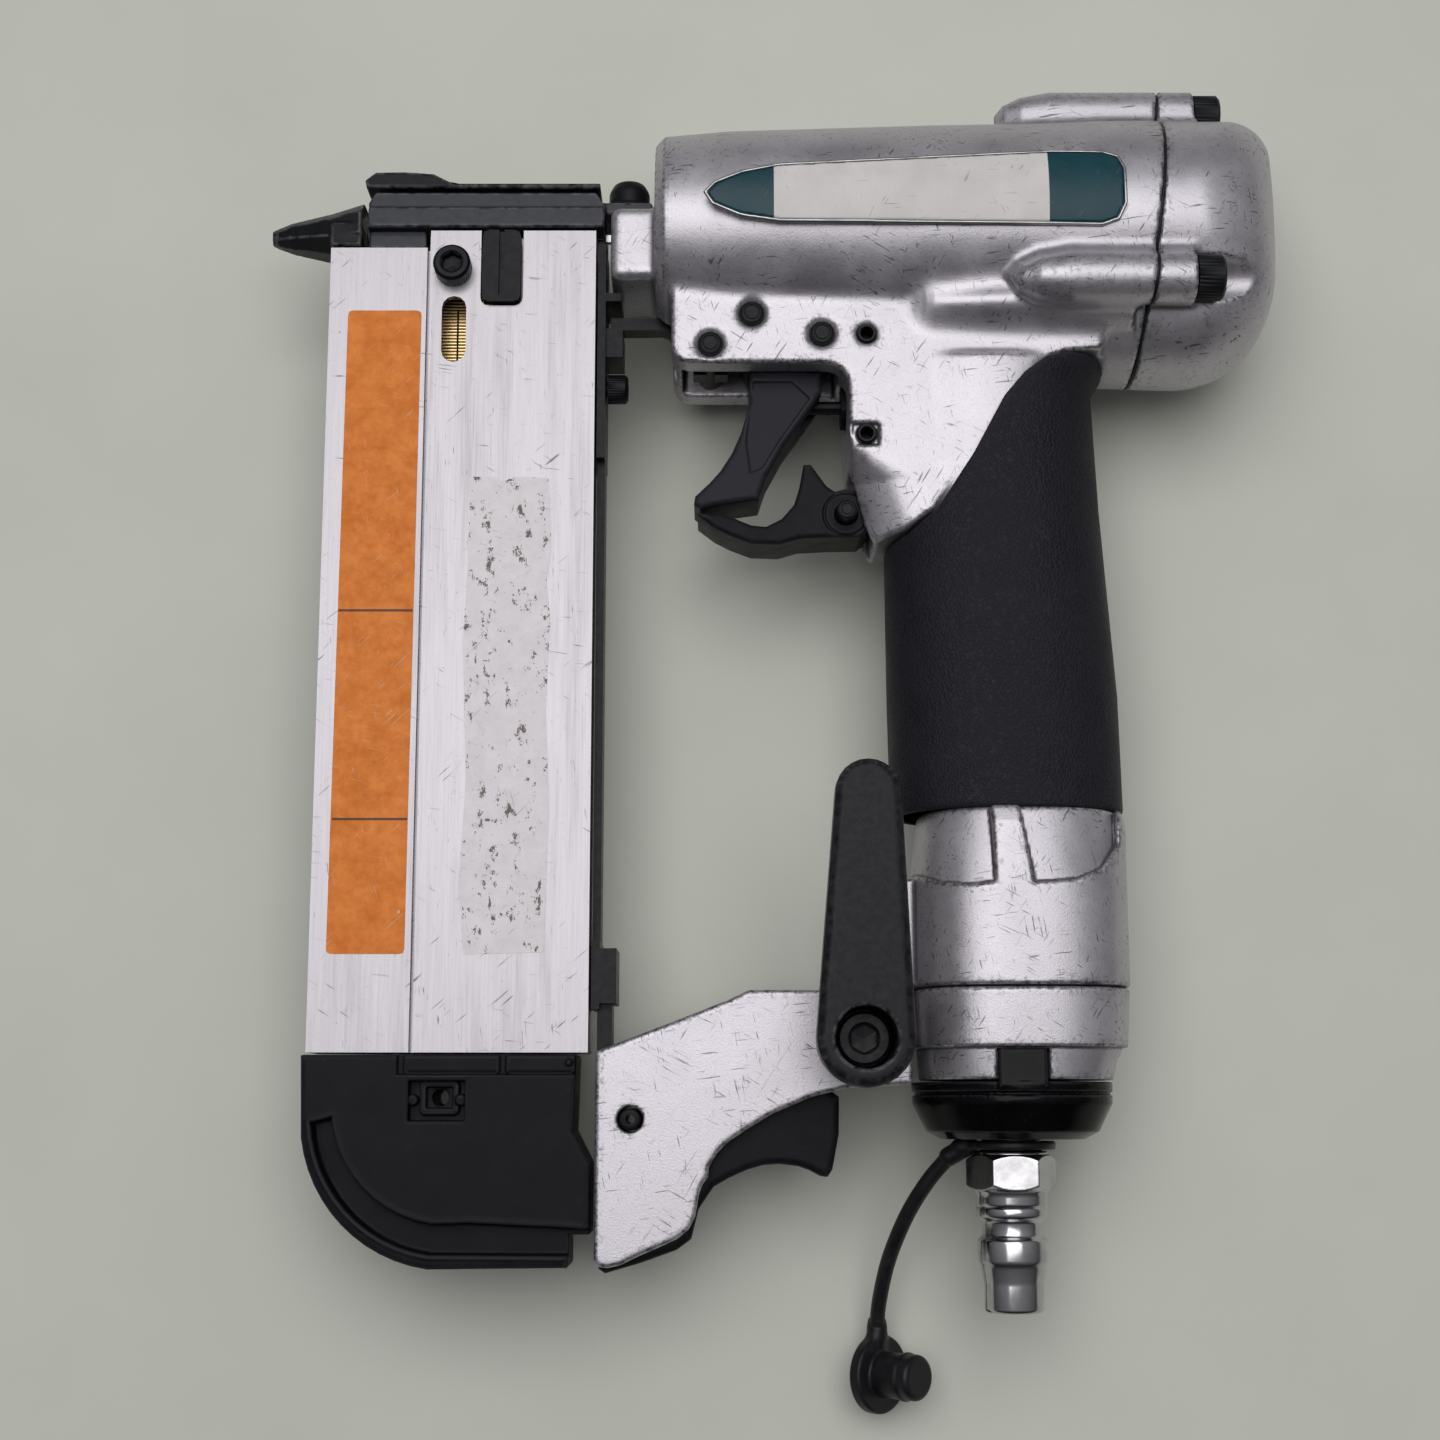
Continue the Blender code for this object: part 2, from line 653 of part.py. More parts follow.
def magazine_fixed():
    """Cover that stays on the tool: a channel with a window, a notch and a screw hole."""
    left, right = SEAM_X + GAP, MAG_RIGHT_X
    window = prism(arc(-59.9, 69.0, 2.3, 0, 180, 6) + arc(-59.9, 60.6, 2.3, 180, 360, 6), 4, 12)
    notch_foot = arc(-53.4, 71.0, 1.6, 180, 270, 3) + arc(-48.6, 71.0, 1.6, 270, 360, 3)
    notch = prism(notch_foot + [(-47.0, 90), (-55.0, 90)], 4, 12)
    cover = combined(
        box(left, right, MAG_LOW_Y, MAG_TOP_Y, -MAG_HALF, MAG_HALF),
        cut=[
            box(left - 5, right - 1.6, -90, 100, -MAG_HALF + MAG_WALL, MAG_HALF - MAG_WALL),
            window,
            notch,
            rod("z", (-60.1, 76.6), 2.0, 0, 12, 12),
        ],
    )
    node("magazine_cover", cover, "brushed_aluminium")
    screw = lathe(
        [(3.0, 0), (3.0, 1.7), (7.3, 1.7), (7.3, 3.5), (11.0, 3.5), (11.0, 1.9), (9.0, 1.7), (9.0, 0)],
        "z",
        (-60.1, 76.6),
        14,
    )
    node("magazine_screw", screw, "black_steel")
    stop_outline = rounded([(-54.6, 69.8), (-47.4, 69.8), (-47.4, 83.9), (-54.6, 83.9)], 1.3)
    stop = prism(stop_outline, 6.1, 8.4)
    slot = box(-51.5, -50.5, 71.0, 90.0, 7.4, 9.0)
    node("magazine_stop", combined(stop, cut=[slot]), "black_steel")
    rail = combined(
        box(-32.9, -31.4, -62.0, 82.0, -6.2, 6.2),
        join=[
            box(-32.9, -28.5, 70.6, 72.2, -6.2, 6.2),
            box(-32.0, -28.2, 60.0, 65.6, -5.0, 5.0),
            box(-32.0, -28.4, -61.0, -51.2, -6.2, 6.2),
            box(-31.9, -29.2, -76.0, -58.0, -3.6, 3.6),
        ],
        cut=[
            box(-40, -20, -50.0, 40.0, 3.4, 9.0),
            box(-40, -20, -50.0, 40.0, -9.0, -3.4),
            rod("x", (55.2, 0), 1.5 + GAP, -40, -20, 10),
        ],
    )
    node("magazine_rail", rail, "black_steel")
    head = lathe(
        [(-31.9, 0), (-31.9, 1.4), (-31.1, 1.4), (-31.1, 2.75), (-27.3, 2.75), (-27.3, 0)],
        "x",
        (55.2, 0),
        12,
    )
    node("rail_screw", head, "black_steel")


def magazine_moving():
    """The part that slides out: edge strip, inner rail, end cap, pins and pusher."""
    inner = MAG_HALF - MAG_WALL - 0.5
    lean = prism(
        [(MAG_LEFT_X, MAG_LOW_Y), (SEAM_X - GAP, MAG_LOW_Y), (SEAM_X - GAP, SLIDE_TOP_Y)]
        + [(MAG_LEFT_X, SLIDE_TOP_Y)],
        -MAG_HALF,
        MAG_HALF,
    )
    inner_rail = box(SEAM_X - 4, MAG_RIGHT_X - 2.2, MAG_LOW_Y, MAG_TOP_Y - 0.4, -inner, inner)
    groove = box(PIN_FRONT_X - 0.9, PIN_FRONT_X + PIN_LONG + 1.0, -64.0, 100, -1.0, 1.0)
    lane = box(-79.0, -50.5, -64.0, 100, -4.2, 4.2)
    sight = prism(arc(-59.9, 69.0, 2.9, 0, 180, 6) + arc(-59.9, 60.6, 2.9, 180, 360, 6), 0, 12)
    relief = [
        box(-62.6, -46.4, 67.6, 100, 4.0, 12),
        sight,
        box(-48.0, -30, -66, 82, -9, -1.5),
        box(-90, SEAM_X, SLIDE_TOP_Y, 100, -9, 9),
    ]
    slide = combined(lean, join=[inner_rail], cut=[groove, lane] + relief)
    node("magazine_slide", slide, "brushed_aluminium", "magazine_body")
    strip = box(PIN_FRONT_X, PIN_FRONT_X + PIN_LONG, 12.0, DRIVE_Y - 1.6, -0.32, 0.32)
    node("pin_strip", strip, "brass", "magazine_body")
    pusher = combined(
        box(PIN_FRONT_X + 0.2, PIN_FRONT_X + PIN_LONG, 2.0, 11.6, -0.6, 0.6),
        join=[box(-78.6, -51.0, -2.0, 8.0, -3.8, 3.8)],
    )
    node("pusher", pusher, "black_plastic", "pusher_body")
    spring("pusher_spring", "y", (0, -65.0), 3.1, 0.4, -63.4, -2.4, 9, "magazine_body", 6)
    node("magazine_end_cap", end_cap_shape(), "black_plastic", "magazine_body")


def end_cap_outline():
    top = MAG_LOW_Y - GAP
    left = MAG_LEFT_X - 0.9
    curve = arc(left + 27.0, -81.0, 27.0, 190, 262, 7)
    return (
        [(-35.2, top), (left, top)]
        + [(x, y) for x, y in curve]
        + [(-36.3, -107.0), (-36.3, -101.6), (-32.6, -101.6), (-32.6, -89.0), (-35.6, -83.4)]
    )


def end_cap_shape():
    left = MAG_LEFT_X - 0.9
    groove = prism(
        arc(left + 27.0, -80.0, 25.0, 186, 262, 6) + arc(left + 27.0, -79.2, 21.5, 262, 186, 6),
        5.2,
        12.0,
    )
    return combined(
        prism(end_cap_outline(), -8.2, 8.2),
        cut=[
            groove,
            box(-65.0, -55.0, -82.0, -73.0, 5.0, 12.0),
            box(-66.0, -35.0, -73.2, -60.0, 7.2, 12.0),
            rod("z", (-59.5, -77.4), 1.5, -20, 20, 8),
            box(-74.0, -50.0, -100.0, -60.0, -3.0, 3.0),
        ],
    )


# ---------------------------------------------------------------- trigger group


def trigger_parts():
    outline = [(-7.0, 62.5)] + arc(TRIGGER_AXIS[0], TRIGGER_AXIS[1], 3.3, 200, -10, 6)
    outline += [(4.4, 59.6), (6.0, 57.4), (9.3, 56.8), (9.3, 52.6), (1.9, 41.9), (-1.2, 36.4), (-2.8, 32.0)]
    outline += [(-13.6, 30.1), (-14.8, 31.0), (-14.6, 32.8), (-9.8, 37.3), (-6.6, 45.0), (-5.0, 51.0)]
    shape = combined(
        prism(outline, -6.5, 6.5),
        cut=[
            rod("z", TRIGGER_AXIS[:2], 2.3 + GAP, -10, 10, 12),
            box(3.6, 20, 47, 70, -3.4, 3.4),
        ],
    )
    node("trigger", shape, "black_plastic", "trigger_body")
    pins = {"trigger_pin": TRIGGER_AXIS, "lockout_pin": LOCKOUT_AXIS, "guard_pin": (9.05, 61.8, 0)}
    for name, place in pins.items():
        profile = [(-13.4, 0), (-13.4, 2.3), (13.1, 2.3), (13.5, 1.9), (13.5, 0)]
        node(name, lathe(profile, "z", place[:2], 12), "black_steel")
    for name, place in (("roll_pin_upper", (17.3, 61.8)), ("roll_pin_lower", (17.1, 42.6))):
        node(name, tube("z", place, 1.1, 2.0, -13.4, 13.2, 12), "bright_steel")
    body = combined(
        lathe([(13.0, 0), (13.0, 4.2), (27.0, 4.2), (27.0, 0)], "x", (VALVE_Y, 0), 16),
        cut=[rod("x", (VALVE_Y, 0), 1.7, 0, 16, 10), rod("x", (VALVE_Y, 0), 3.3, 15, 40, 12)],
    )
    node("trigger_valve", body, "black_plastic")
    stem = lathe(
        [(4.1, 0), (4.1, 1.3), (16.5, 1.3), (16.5, 2.6), (18.3, 2.6), (18.3, 0)],
        "x",
        (VALVE_Y, 0),
        10,
    )
    node("valve_stem", stem, "brass", "valve_stem_body")
    spring("valve_spring", "x", (VALVE_Y, 0), 2.1, 0.35, 18.7, 26.5, 4)
    lock_parts()
    lever = combined(
        prism(
            [(-30.6, 66.2), (-30.6, 68.7), (-13.0, 68.7), (-8.4, 62.0), (-8.4, 57.4), (-14.9, 57.4)]
            + [(-14.9, 63.4), (-20.0, 66.4)],
            -2.2,
            2.2,
        ),
        cut=[rod("z", LOCKOUT_AXIS[:2], 2.3 + GAP, -10, 10, 12)],
    )
    node("lockout_arm", lever, "bright_steel", "lockout_body")


def lock_parts():
    ax, ay = LOCK_AXIS[:2]
    outline = [(-14.6, 29.5), (-9.8, 29.3), (-6.9, 28.4), (-4.1, 27.2), (-1.3, 26.9), (1.6, 28.4)]
    outline += [(3.9, 31.2), (4.9, 34.3), (5.7, 38.9), (7.2, 38.9), (10.0, 34.6)]
    outline += arc(ax, ay, 5.0, 110, -60, 6)
    outline += [(4.8, 24.4), (1.1, 23.2), (-4.1, 23.4), (-10.9, 26.4)]
    shape = combined(
        prism(outline, -6.4, 6.4), cut=[rod("z", (ax, ay), 2.0 + GAP, -10, 10, 12)]
    )
    node("lock_lever", shape, "black_plastic", "lock_body")
    profile = [(-12.6, 0), (-12.6, 1.95), (7.4, 1.95), (7.4, 2.9), (9.4, 2.9), (9.8, 2.4), (9.8, 0)]
    node("lock_pin", lathe(profile, "z", (ax, ay), 12), "black_steel")


# ---------------------------------------------------------------- handle group


def grip():
    rows = [
        (64.0, GRIP_MID_X - 0.8, GRIP_HALF_X - 0.3, GRIP_HALF_Z - 0.2, 2.5),
        (57.0, GRIP_MID_X - 0.8, GRIP_HALF_X - 0.3, GRIP_HALF_Z - 0.2, 2.5),
        (53.0, GRIP_MID_X - 2.0, GRIP_HALF_X - 1.6, GRIP_HALF_Z - 0.1, 2.5),
        (30.0, GRIP_MID_X - 1.3, GRIP_HALF_X - 1.0, GRIP_HALF_Z, 2.3),
        (-5.0, GRIP_MID_X, GRIP_HALF_X, GRIP_HALF_Z, 2.3),
        (GRIP_LOW_Y + GAP, GRIP_MID_X + 0.4, GRIP_HALF_X, GRIP_HALF_Z, 2.3),
    ]
    outer = closed_loft(
        [[(x, y, z) for x, z in oval(mx, 0, hx, hz, p, 28)] for y, mx, hx, hz, p in rows]
    )
    rings = handle_sections(-GAP)
    above_top = [(x, y + 40, z) for x, y, z in rings[0]]
    below_end = [(x, y - 20, z) for x, y, z in rings[-1]]
    core = closed_loft([above_top, *rings, below_end])
    above = prism([(10, 20)] + GRIP_EDGE + [(80, 58.8), (80, 90), (10, 90)], -40, 40)
    shape = combined(outer, cut=[core, above, head_outline(48 - GAP, 84, GAP), air_bulge(GAP)])
    node("rubber_grip", shape, "grip_rubber")


def lower_handle():
    top = SEAM_Y - GAP
    rows = [
        (top, BASE_MID_X, BASE_HALF_X - 0.1, BASE_HALF_Z - 0.1, 3.0),
        (-68.5, BASE_MID_X - 0.2, BASE_HALF_X - 0.5, BASE_HALF_Z - 0.3, 3.0),
        (END_CAP_LOW_Y, BASE_MID_X - 0.9, BASE_HALF_X - 1.6, BASE_HALF_Z - 1.0, 2.8),
    ]
    shell = closed_loft(
        [[(x, y, z) for x, z in oval(mx, 0, hx, hz, p, 28)] for y, mx, hx, hz, p in rows]
    )
    shape = combined(
        shell,
        cut=[
            rod("y", (0, PLUG_X), 15.0, -71.0, -50, 20),
            rod("y", (0, PLUG_X), 8.6, -90, -60, 16),
            box(37.8, 47.2, -90, -68.6, 15.2, 40),
            box(37.8, 47.2, -90, -68.6, -40, -15.2),
        ],
    )
    node("handle_end_cap", shape, "silver_paint")
    filter_disc = tube("y", (0, PLUG_X), 6.2, 12.4, -62.5, -60.5, 16)
    node("air_filter", filter_disc, "filter_mesh")
    ring = lathe(
        [(-74.9, 9.0), (-74.9, RING_R), (-78.5, RING_R - 0.1), (-83.4, RING_R - 2.6)]
        + [(RING_LOW_Y, RING_R - 5.4), (RING_LOW_Y, 6.2), (-82.0, 6.2), (-82.0, 9.0)],
        "y",
        (0, RING_MID_X),
        24,
        ring=True,
    )
    lug = box(38.3, 46.7, -76.0, -69.0, 15.6, 17.6)
    node("exhaust_deflector", combined(ring, join=[lug]), "black_plastic")
    plug = lathe(
        [(-66.0, 3.6), (-66.0, 5.4), (-87.0, 5.4), (-87.0, 6.6), (-87.6, 7.0), (-94.0, 7.0)]
        + [(-94.5, 6.45), (-98.6, 6.45), (-99.3, 5.35), (-101.7, 5.35), (-102.4, 6.35)]
        + [(-106.3, 6.35), (-109.6, 5.4), (PLUG_END_Y + 0.6, 5.4), (PLUG_END_Y, 4.9)]
        + [(PLUG_END_Y, 3.6)],
        "y",
        (0, PLUG_X),
        20,
        ring=True,
    )
    across = 7.0 / math.cos(math.pi / 6)
    corners = arc(PLUG_X, 0, across, 0, 300, 5)
    hexagon = prism([(z, x) for x, z in corners], -94.3, -87.2, "y")
    bore = rod("y", (0, PLUG_X), 3.6, -130, -50, 20)
    node("air_plug", combined(plug, join=[hexagon], cut=[bore]), "bright_steel")


# ---------------------------------------------------------------- arm, latch and hook


ARM_LEFT_X = -32.0


def arm_outline():
    top = [(ARM_LEFT_X, -69.4), (-8.2, -60.3), (-4.7, -58.6), (24.2, -58.6)]
    low = [(24.2, -75.4), (12.9, -76.0), (6.4, -77.6), (-0.7, -80.6), (-4.7, -83.0)]
    low += [(-9.6, -86.4), (-12.1, -89.6), (-13.6, -94.2), (-14.5, -98.3), (-16.4, -101.4)]
    return top + low + [(-24.1, -105.0), (-29.0, -107.0), (-31.2, -106.9), (ARM_LEFT_X, -105.6)]


def arm_parts():
    arm = combined(
        prism(arm_outline(), -8.2, 8.2),
        cut=[
            prism(
                [(-40, -76.0), (-26.0, -72.2), (-4.0, -65.6), (9.5, -65.6), (14.0, -80)]
                + [(14.0, -120), (-40, -120)],
                -4.9,
                4.9,
            ),
            box(-40, -28.8, -80, -60, -4.0, 4.0),
            rod("z", LATCH_AXIS[:2], 2.0 + GAP, -20, 20, 12),
            rod("z", (14.6, -67.8), 2.6 + GAP, -20, 20, 12),
        ],
    )
    node("magazine_arm", arm, "silver_paint")
    outline = arc(LATCH_AXIS[0], LATCH_AXIS[1], 4.4, 170, 60, 3)
    outline += [(-12.0, -77.5), (0.0, -76.3), (8.0, -75.0), (11.6, -77.4), (10.2, -90.6)]
    outline += [(8.6, -91.9), (4.2, -89.9), (0.7, -89.3), (-4.7, -90.2), (-10.9, -93.2)]
    outline += [(-13.6, -97.0), (-14.9, -102.3), (-17.5, -104.2), (-24.1, -106.5), (-30.1, -108.2)]
    outline += [(-31.4, -107.4), (-31.4, -105.0), (-28.6, -103.6), (-28.6, -90.0)]
    lever = combined(
        prism(outline, -4.3, 4.3),
        cut=[rod("z", LATCH_AXIS[:2], 2.0 + GAP, -20, 20, 12)],
    )
    node("latch_lever", lever, "black_plastic", "latch_body")
    node("latch_pin", tube("z", LATCH_AXIS[:2], 0.9, 1.95, -8.6, 8.6, 12), "black_steel")
    hook_outline = arc(14.6, -67.8, 8.4, 180, 360, 8) + arc(15.4, -26.4, 5.7, 0, 180, 8)
    hook = combined(
        prism(hook_outline, 25.6, 33.0),
        join=[rod("z", (14.6, -67.8), 7.6, 8.6, 27.0, 20)],
        cut=[
            rod("z", (14.6, -67.8), 5.2, 21.0, 40.0, 16),
            rod("z", (14.6, -67.8), 2.6 + GAP, 0.0, 40.0, 12),
        ],
    )
    node("belt_hook", hook, "black_steel", bevel=0.6)
    bolt = lathe(
        [(-5.0, 0), (-5.0, 2.5), (21.4, 2.5), (21.4, 4.6), (25.4, 4.6), (25.4, 2.4), (23.0, 2.2)]
        + [(23.0, 0)],
        "z",
        (14.6, -67.8),
        14,
    )
    node("hook_bolt", bolt, "black_steel")


# ---------------------------------------------------------------- dust cap on its strap

STRAP_R = 1.4
STRAP_ROUTE = [
    (31.2, -88.0, -1.2),
    (27.6, -92.4, -3.4),
    (24.0, -98.6, -7.0),
    (21.0, -106.6, -11.6),
    (19.4, -114.6, -15.6),
    (19.0, -120.4, -17.6),
]
CAP_MID = (19.6, -127.6, -17.9)
CAP_LEAN = math.radians(46.0)


def smooth_route(route, step):
    """Points about a step apart on a Catmull-Rom curve through the route."""
    knots = [np.array(p, float) for p in route]
    knots = [2 * knots[0] - knots[1], *knots, 2 * knots[-1] - knots[-2]]
    points = []
    for a, b, c, d in zip(knots, knots[1:], knots[2:], knots[3:]):
        count = max(1, round(float(np.linalg.norm(c - b)) / step))
        for k in range(count):
            t = k / count
            points.append(
                0.5 * (2 * b + (c - a) * t + (2 * a - 5 * b + 4 * c - d) * t**2
                       + (3 * b - a - 3 * c + d) * t**3)
            )
    points.append(knots[-2])
    return [tuple(p) for p in points]


def dust_cap_parts():
    ring = tube("y", (0, PLUG_X), 5.4 + GAP, 8.0, -86.7, -85.2, 18)
    node("tether_ring", combined(ring, join=[rod("y", (0, 33.4), 1.4, -86.7, -85.2, 8)]), "seal_rubber")
    swept("cap_strap", smooth_route(STRAP_ROUTE, 3.0), STRAP_R, "seal_rubber", sides=2)
    cap = lathe(
        [(-1.6, 0), (-1.6, 6.6), (-1.0, 7.1), (0.2, 7.1), (0.8, 6.6), (0.8, 4.1), (8.6, 4.1)]
        + [(9.4, 3.4), (9.4, 0)],
        "z",
        (0, 0),
        20,
    )
    turn = Matrix.Rotation(CAP_LEAN, 4, "Y")
    node("dust_cap", moved(cap, Matrix.Translation(CAP_MID) @ turn), "seal_rubber")


def side_panels():
    """Curved name plates let into both sides of the barrel, without any name."""
    for name, side in (("side_panel_left", 1), ("side_panel_right", -1)):
        outline = [(1.0, 80.4), (60.0, 80.0), (62.6, 82.0), (62.6, 94.0), (60.0, 95.2), (1.0, 92.6)]
        outline += arc(0.0, 86.5, 12.6, 150, 210, 4)
        plate = prism(outline, 10.0, 26.0)
        skin = combined(
            plate,
            keep=[tube("x", (DRIVE_Y, 0), BARREL_R + 0.7, BARREL_R + 1.3, -20, 64, 48)],
        )
        skin = moved(skin, Matrix.Diagonal((1, 1, side, 1)))
        bmesh.ops.recalc_face_normals(skin, faces=skin.faces)
        node(name, skin, "panel_white")


def build():
    clear_scene()
    make_materials()
    make_bodies()
    body_housing()
    head_cap()
    head_gasket()
    head_bolts()
    drive_parts()
    side_panels()
    nose_parts()
    magazine_fixed()
    magazine_moving()
    trigger_parts()
    grip()
    lower_handle()
    arm_parts()
    dust_cap_parts()


build()
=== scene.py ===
import math

import bmesh
import bpy
import numpy as np
from mathutils import Matrix, Vector


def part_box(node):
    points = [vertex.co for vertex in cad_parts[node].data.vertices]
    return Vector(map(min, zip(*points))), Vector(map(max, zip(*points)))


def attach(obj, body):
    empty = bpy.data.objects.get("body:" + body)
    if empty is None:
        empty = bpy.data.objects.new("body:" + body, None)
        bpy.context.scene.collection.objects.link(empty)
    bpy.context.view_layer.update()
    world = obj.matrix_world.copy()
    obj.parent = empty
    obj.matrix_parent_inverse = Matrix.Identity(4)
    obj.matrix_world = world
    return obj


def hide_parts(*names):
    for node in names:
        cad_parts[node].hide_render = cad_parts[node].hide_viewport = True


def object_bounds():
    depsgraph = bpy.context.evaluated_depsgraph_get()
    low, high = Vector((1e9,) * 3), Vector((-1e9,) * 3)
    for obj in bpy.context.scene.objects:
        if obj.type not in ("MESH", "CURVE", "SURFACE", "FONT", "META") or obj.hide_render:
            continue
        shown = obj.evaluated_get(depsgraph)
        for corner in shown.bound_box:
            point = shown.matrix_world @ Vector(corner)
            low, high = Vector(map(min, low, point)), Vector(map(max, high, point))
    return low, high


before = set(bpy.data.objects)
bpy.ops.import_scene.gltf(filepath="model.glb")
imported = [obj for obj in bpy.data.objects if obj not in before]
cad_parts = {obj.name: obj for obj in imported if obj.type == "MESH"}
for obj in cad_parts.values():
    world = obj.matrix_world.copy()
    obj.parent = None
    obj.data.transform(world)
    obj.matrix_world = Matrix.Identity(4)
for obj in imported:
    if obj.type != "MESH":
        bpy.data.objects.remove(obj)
CAD_LOW, CAD_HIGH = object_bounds()

# Every size below is in millimetres in the tool's frame: X and Y as in the row frame, and Z from
# the tool's mid-plane, which is the plane of the cylinder's axis.
MM = 0.001
CYLINDER_LOW, CYLINDER_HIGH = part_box("cylinder")
SIDE = (CYLINDER_LOW.z + CYLINDER_HIGH.z) / 2 / MM
DRIVE_Y = (CYLINDER_LOW.y + CYLINDER_HIGH.y) / 2 / MM
BACK_X = CAD_HIGH.x / MM
PLUG_LOW, PLUG_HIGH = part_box("air_plug")
PLUG_X = (PLUG_LOW.x + PLUG_HIGH.x) / 2 / MM
PLUG_END_Y = PLUG_LOW.y / MM

COARSE = 1.0


# ---------------------------------------------------------------- distance fields
# A field takes points as (x, y, z) arrays and gives the distance to a surface, negative inside.


def along(p, axis):
    """(the coordinate along the axis, then the two across it)"""
    x, y, z = p
    return {"x": (x, y, z), "y": (y, z, x), "z": (z, x, y)}[axis]


def back_to_xyz(axis, w, u, v):
    """The reverse of along."""
    return {"x": (w, u, v), "y": (v, w, u), "z": (u, v, w)}[axis]


def capped(side, ends, edge):
    """Where a side surface and its end planes meet, with an edge of that radius."""
    a = side + edge
    b = ends + edge
    return np.minimum(np.maximum(a, b), 0) + np.hypot(np.maximum(a, 0), np.maximum(b, 0)) - edge


def rod(p, axis, centre, radius, low, high, edge=0.3):
    w, u, v = along(p, axis)
    side = np.hypot(u - centre[0], v - centre[1]) - radius
    return capped(side, np.abs(w - (low + high) / 2) - (high - low) / 2, edge)


def block(p, x, y, z, edge=0.4):
    """A box between (low, high) on each axis, with rounded edges."""
    q = [np.abs(c - (a + b) / 2) - (b - a) / 2 + edge for c, (a, b) in zip(p, (x, y, z))]
    outside = np.sqrt(sum(np.maximum(c, 0) ** 2 for c in q))
    return outside + np.minimum(np.maximum(np.maximum(q[0], q[1]), q[2]), 0) - edge


def flat_distance(u, v, outline):
    """Signed distance to a closed outline in a plane."""
    best = np.full(u.shape, 1e12)
    inside = np.zeros(u.shape, bool)
    for (au, av), (bu, bv) in zip(outline, outline[1:] + outline[:1]):
        eu, ev = bu - au, bv - av
        wu, wv = u - au, v - av
        t = np.clip((wu * eu + wv * ev) / (eu * eu + ev * ev + 1e-12), 0, 1)
        best = np.minimum(best, (wu - eu * t) ** 2 + (wv - ev * t) ** 2)
        if av != bv:
            crosses = (av > v) != (bv > v)
            inside ^= crosses & (u < au + (v - av) * eu / ev)
    best = np.sqrt(best)
    return np.where(inside, -best, best)


def plate(p, outline, low, high, edge=0.4, axis="z"):
    """An outline swept from low to high, with rounded edges round both faces."""
    w, u, v = along(p, axis)
    side = flat_distance(u, v, outline)
    return capped(side, np.abs(w - (low + high) / 2) - (high - low) / 2, edge)


def turned(p, profile, axis, centre, edge=0.3):
    """A closed profile of (along, radius) points turned round an axis, with its corners rounded."""
    w, u, v = along(p, axis)
    return flat_distance(w, np.hypot(u - centre[0], v - centre[1]), profile) - edge


def oval_loft(p, rows, edge=1.0):
    """Rings of (y, mid x, half x, half z, power) joined along Y; power 2 is an ellipse."""
    x, y, z = p
    ys = [row[0] for row in rows]
    order = np.argsort(ys)
    mid, hx, hz, power = (
        np.interp(y, np.array(ys)[order], np.array([row[k] for row in rows])[order])
        for k in (1, 2, 3, 4)
    )
    u = np.abs(x - mid) / hx
    v = np.abs(z) / hz
    ring = (u**power + v**power + 1e-9) ** (1 / power)
    side = (ring - 1) * np.minimum(hx, hz)
    return capped(side, np.abs(y - (max(ys) + min(ys)) / 2) - (max(ys) - min(ys)) / 2, edge)


def egg(y, z, top_y, top_r, low_y, low_r):
    """Distance to the outline round two circles, one above the other."""
    height = np.maximum(top_y - top_r - low_y - low_r, 0.01)
    u = np.abs(z)
    v = y - low_y - low_r
    lean = np.clip((low_r - top_r) / height, -0.98, 0.98)
    upright = np.sqrt(1 - lean * lean)
    k = -lean * u + upright * v
    round_low = np.hypot(u, v) - low_r
    round_top = np.hypot(u, v - height) - top_r
    straight = u * upright + v * lean - low_r
    return np.where(k < 0, round_low, np.where(k > upright * height, round_top, straight))


def joined(a, b, blend=0.0):
    """Union, with a fillet of about the blend's size."""
    if blend <= 0:
        return np.minimum(a, b)
    h = np.clip(0.5 + 0.5 * (b - a) / blend, 0, 1)
    return b + (a - b) * h - blend * h * (1 - h)


def without(a, b, blend=0.0):
    """a with b cut away."""
    return -joined(-a, b, blend)


def within(a, b, blend=0.0):
    return -joined(-a, -b, blend)


def arc(cx, cy, radius, start, end, steps):
    turn = [math.radians(start + (end - start) * i / steps) for i in range(steps + 1)]
    return [(cx + radius * math.cos(a), cy + radius * math.sin(a)) for a in turn]


# ---------------------------------------------------------------- meshes


def near_surface(field, axes, step):
    """Field values on the whole grid: exact close to the surface, rough elsewhere."""
    group = 6
    counts = [len(a) for a in axes]
    middle = (group - 1) / 2
    centres = [a[0] + step * (group * np.arange(-(-n // group)) + middle) for a, n in zip(axes, counts)]
    rough = field(np.meshgrid(*centres, indexing="ij"))
    whole = rough.astype(np.float32)
    for k in range(3):
        whole = np.repeat(whole, group, axis=k)
    whole = whole[: counts[0], : counts[1], : counts[2]]
    spots = np.nonzero(np.abs(whole) < group * step * 1.35)
    values = whole.copy()
    values[spots] = field([a[i] for a, i in zip(axes, spots)])
    return values


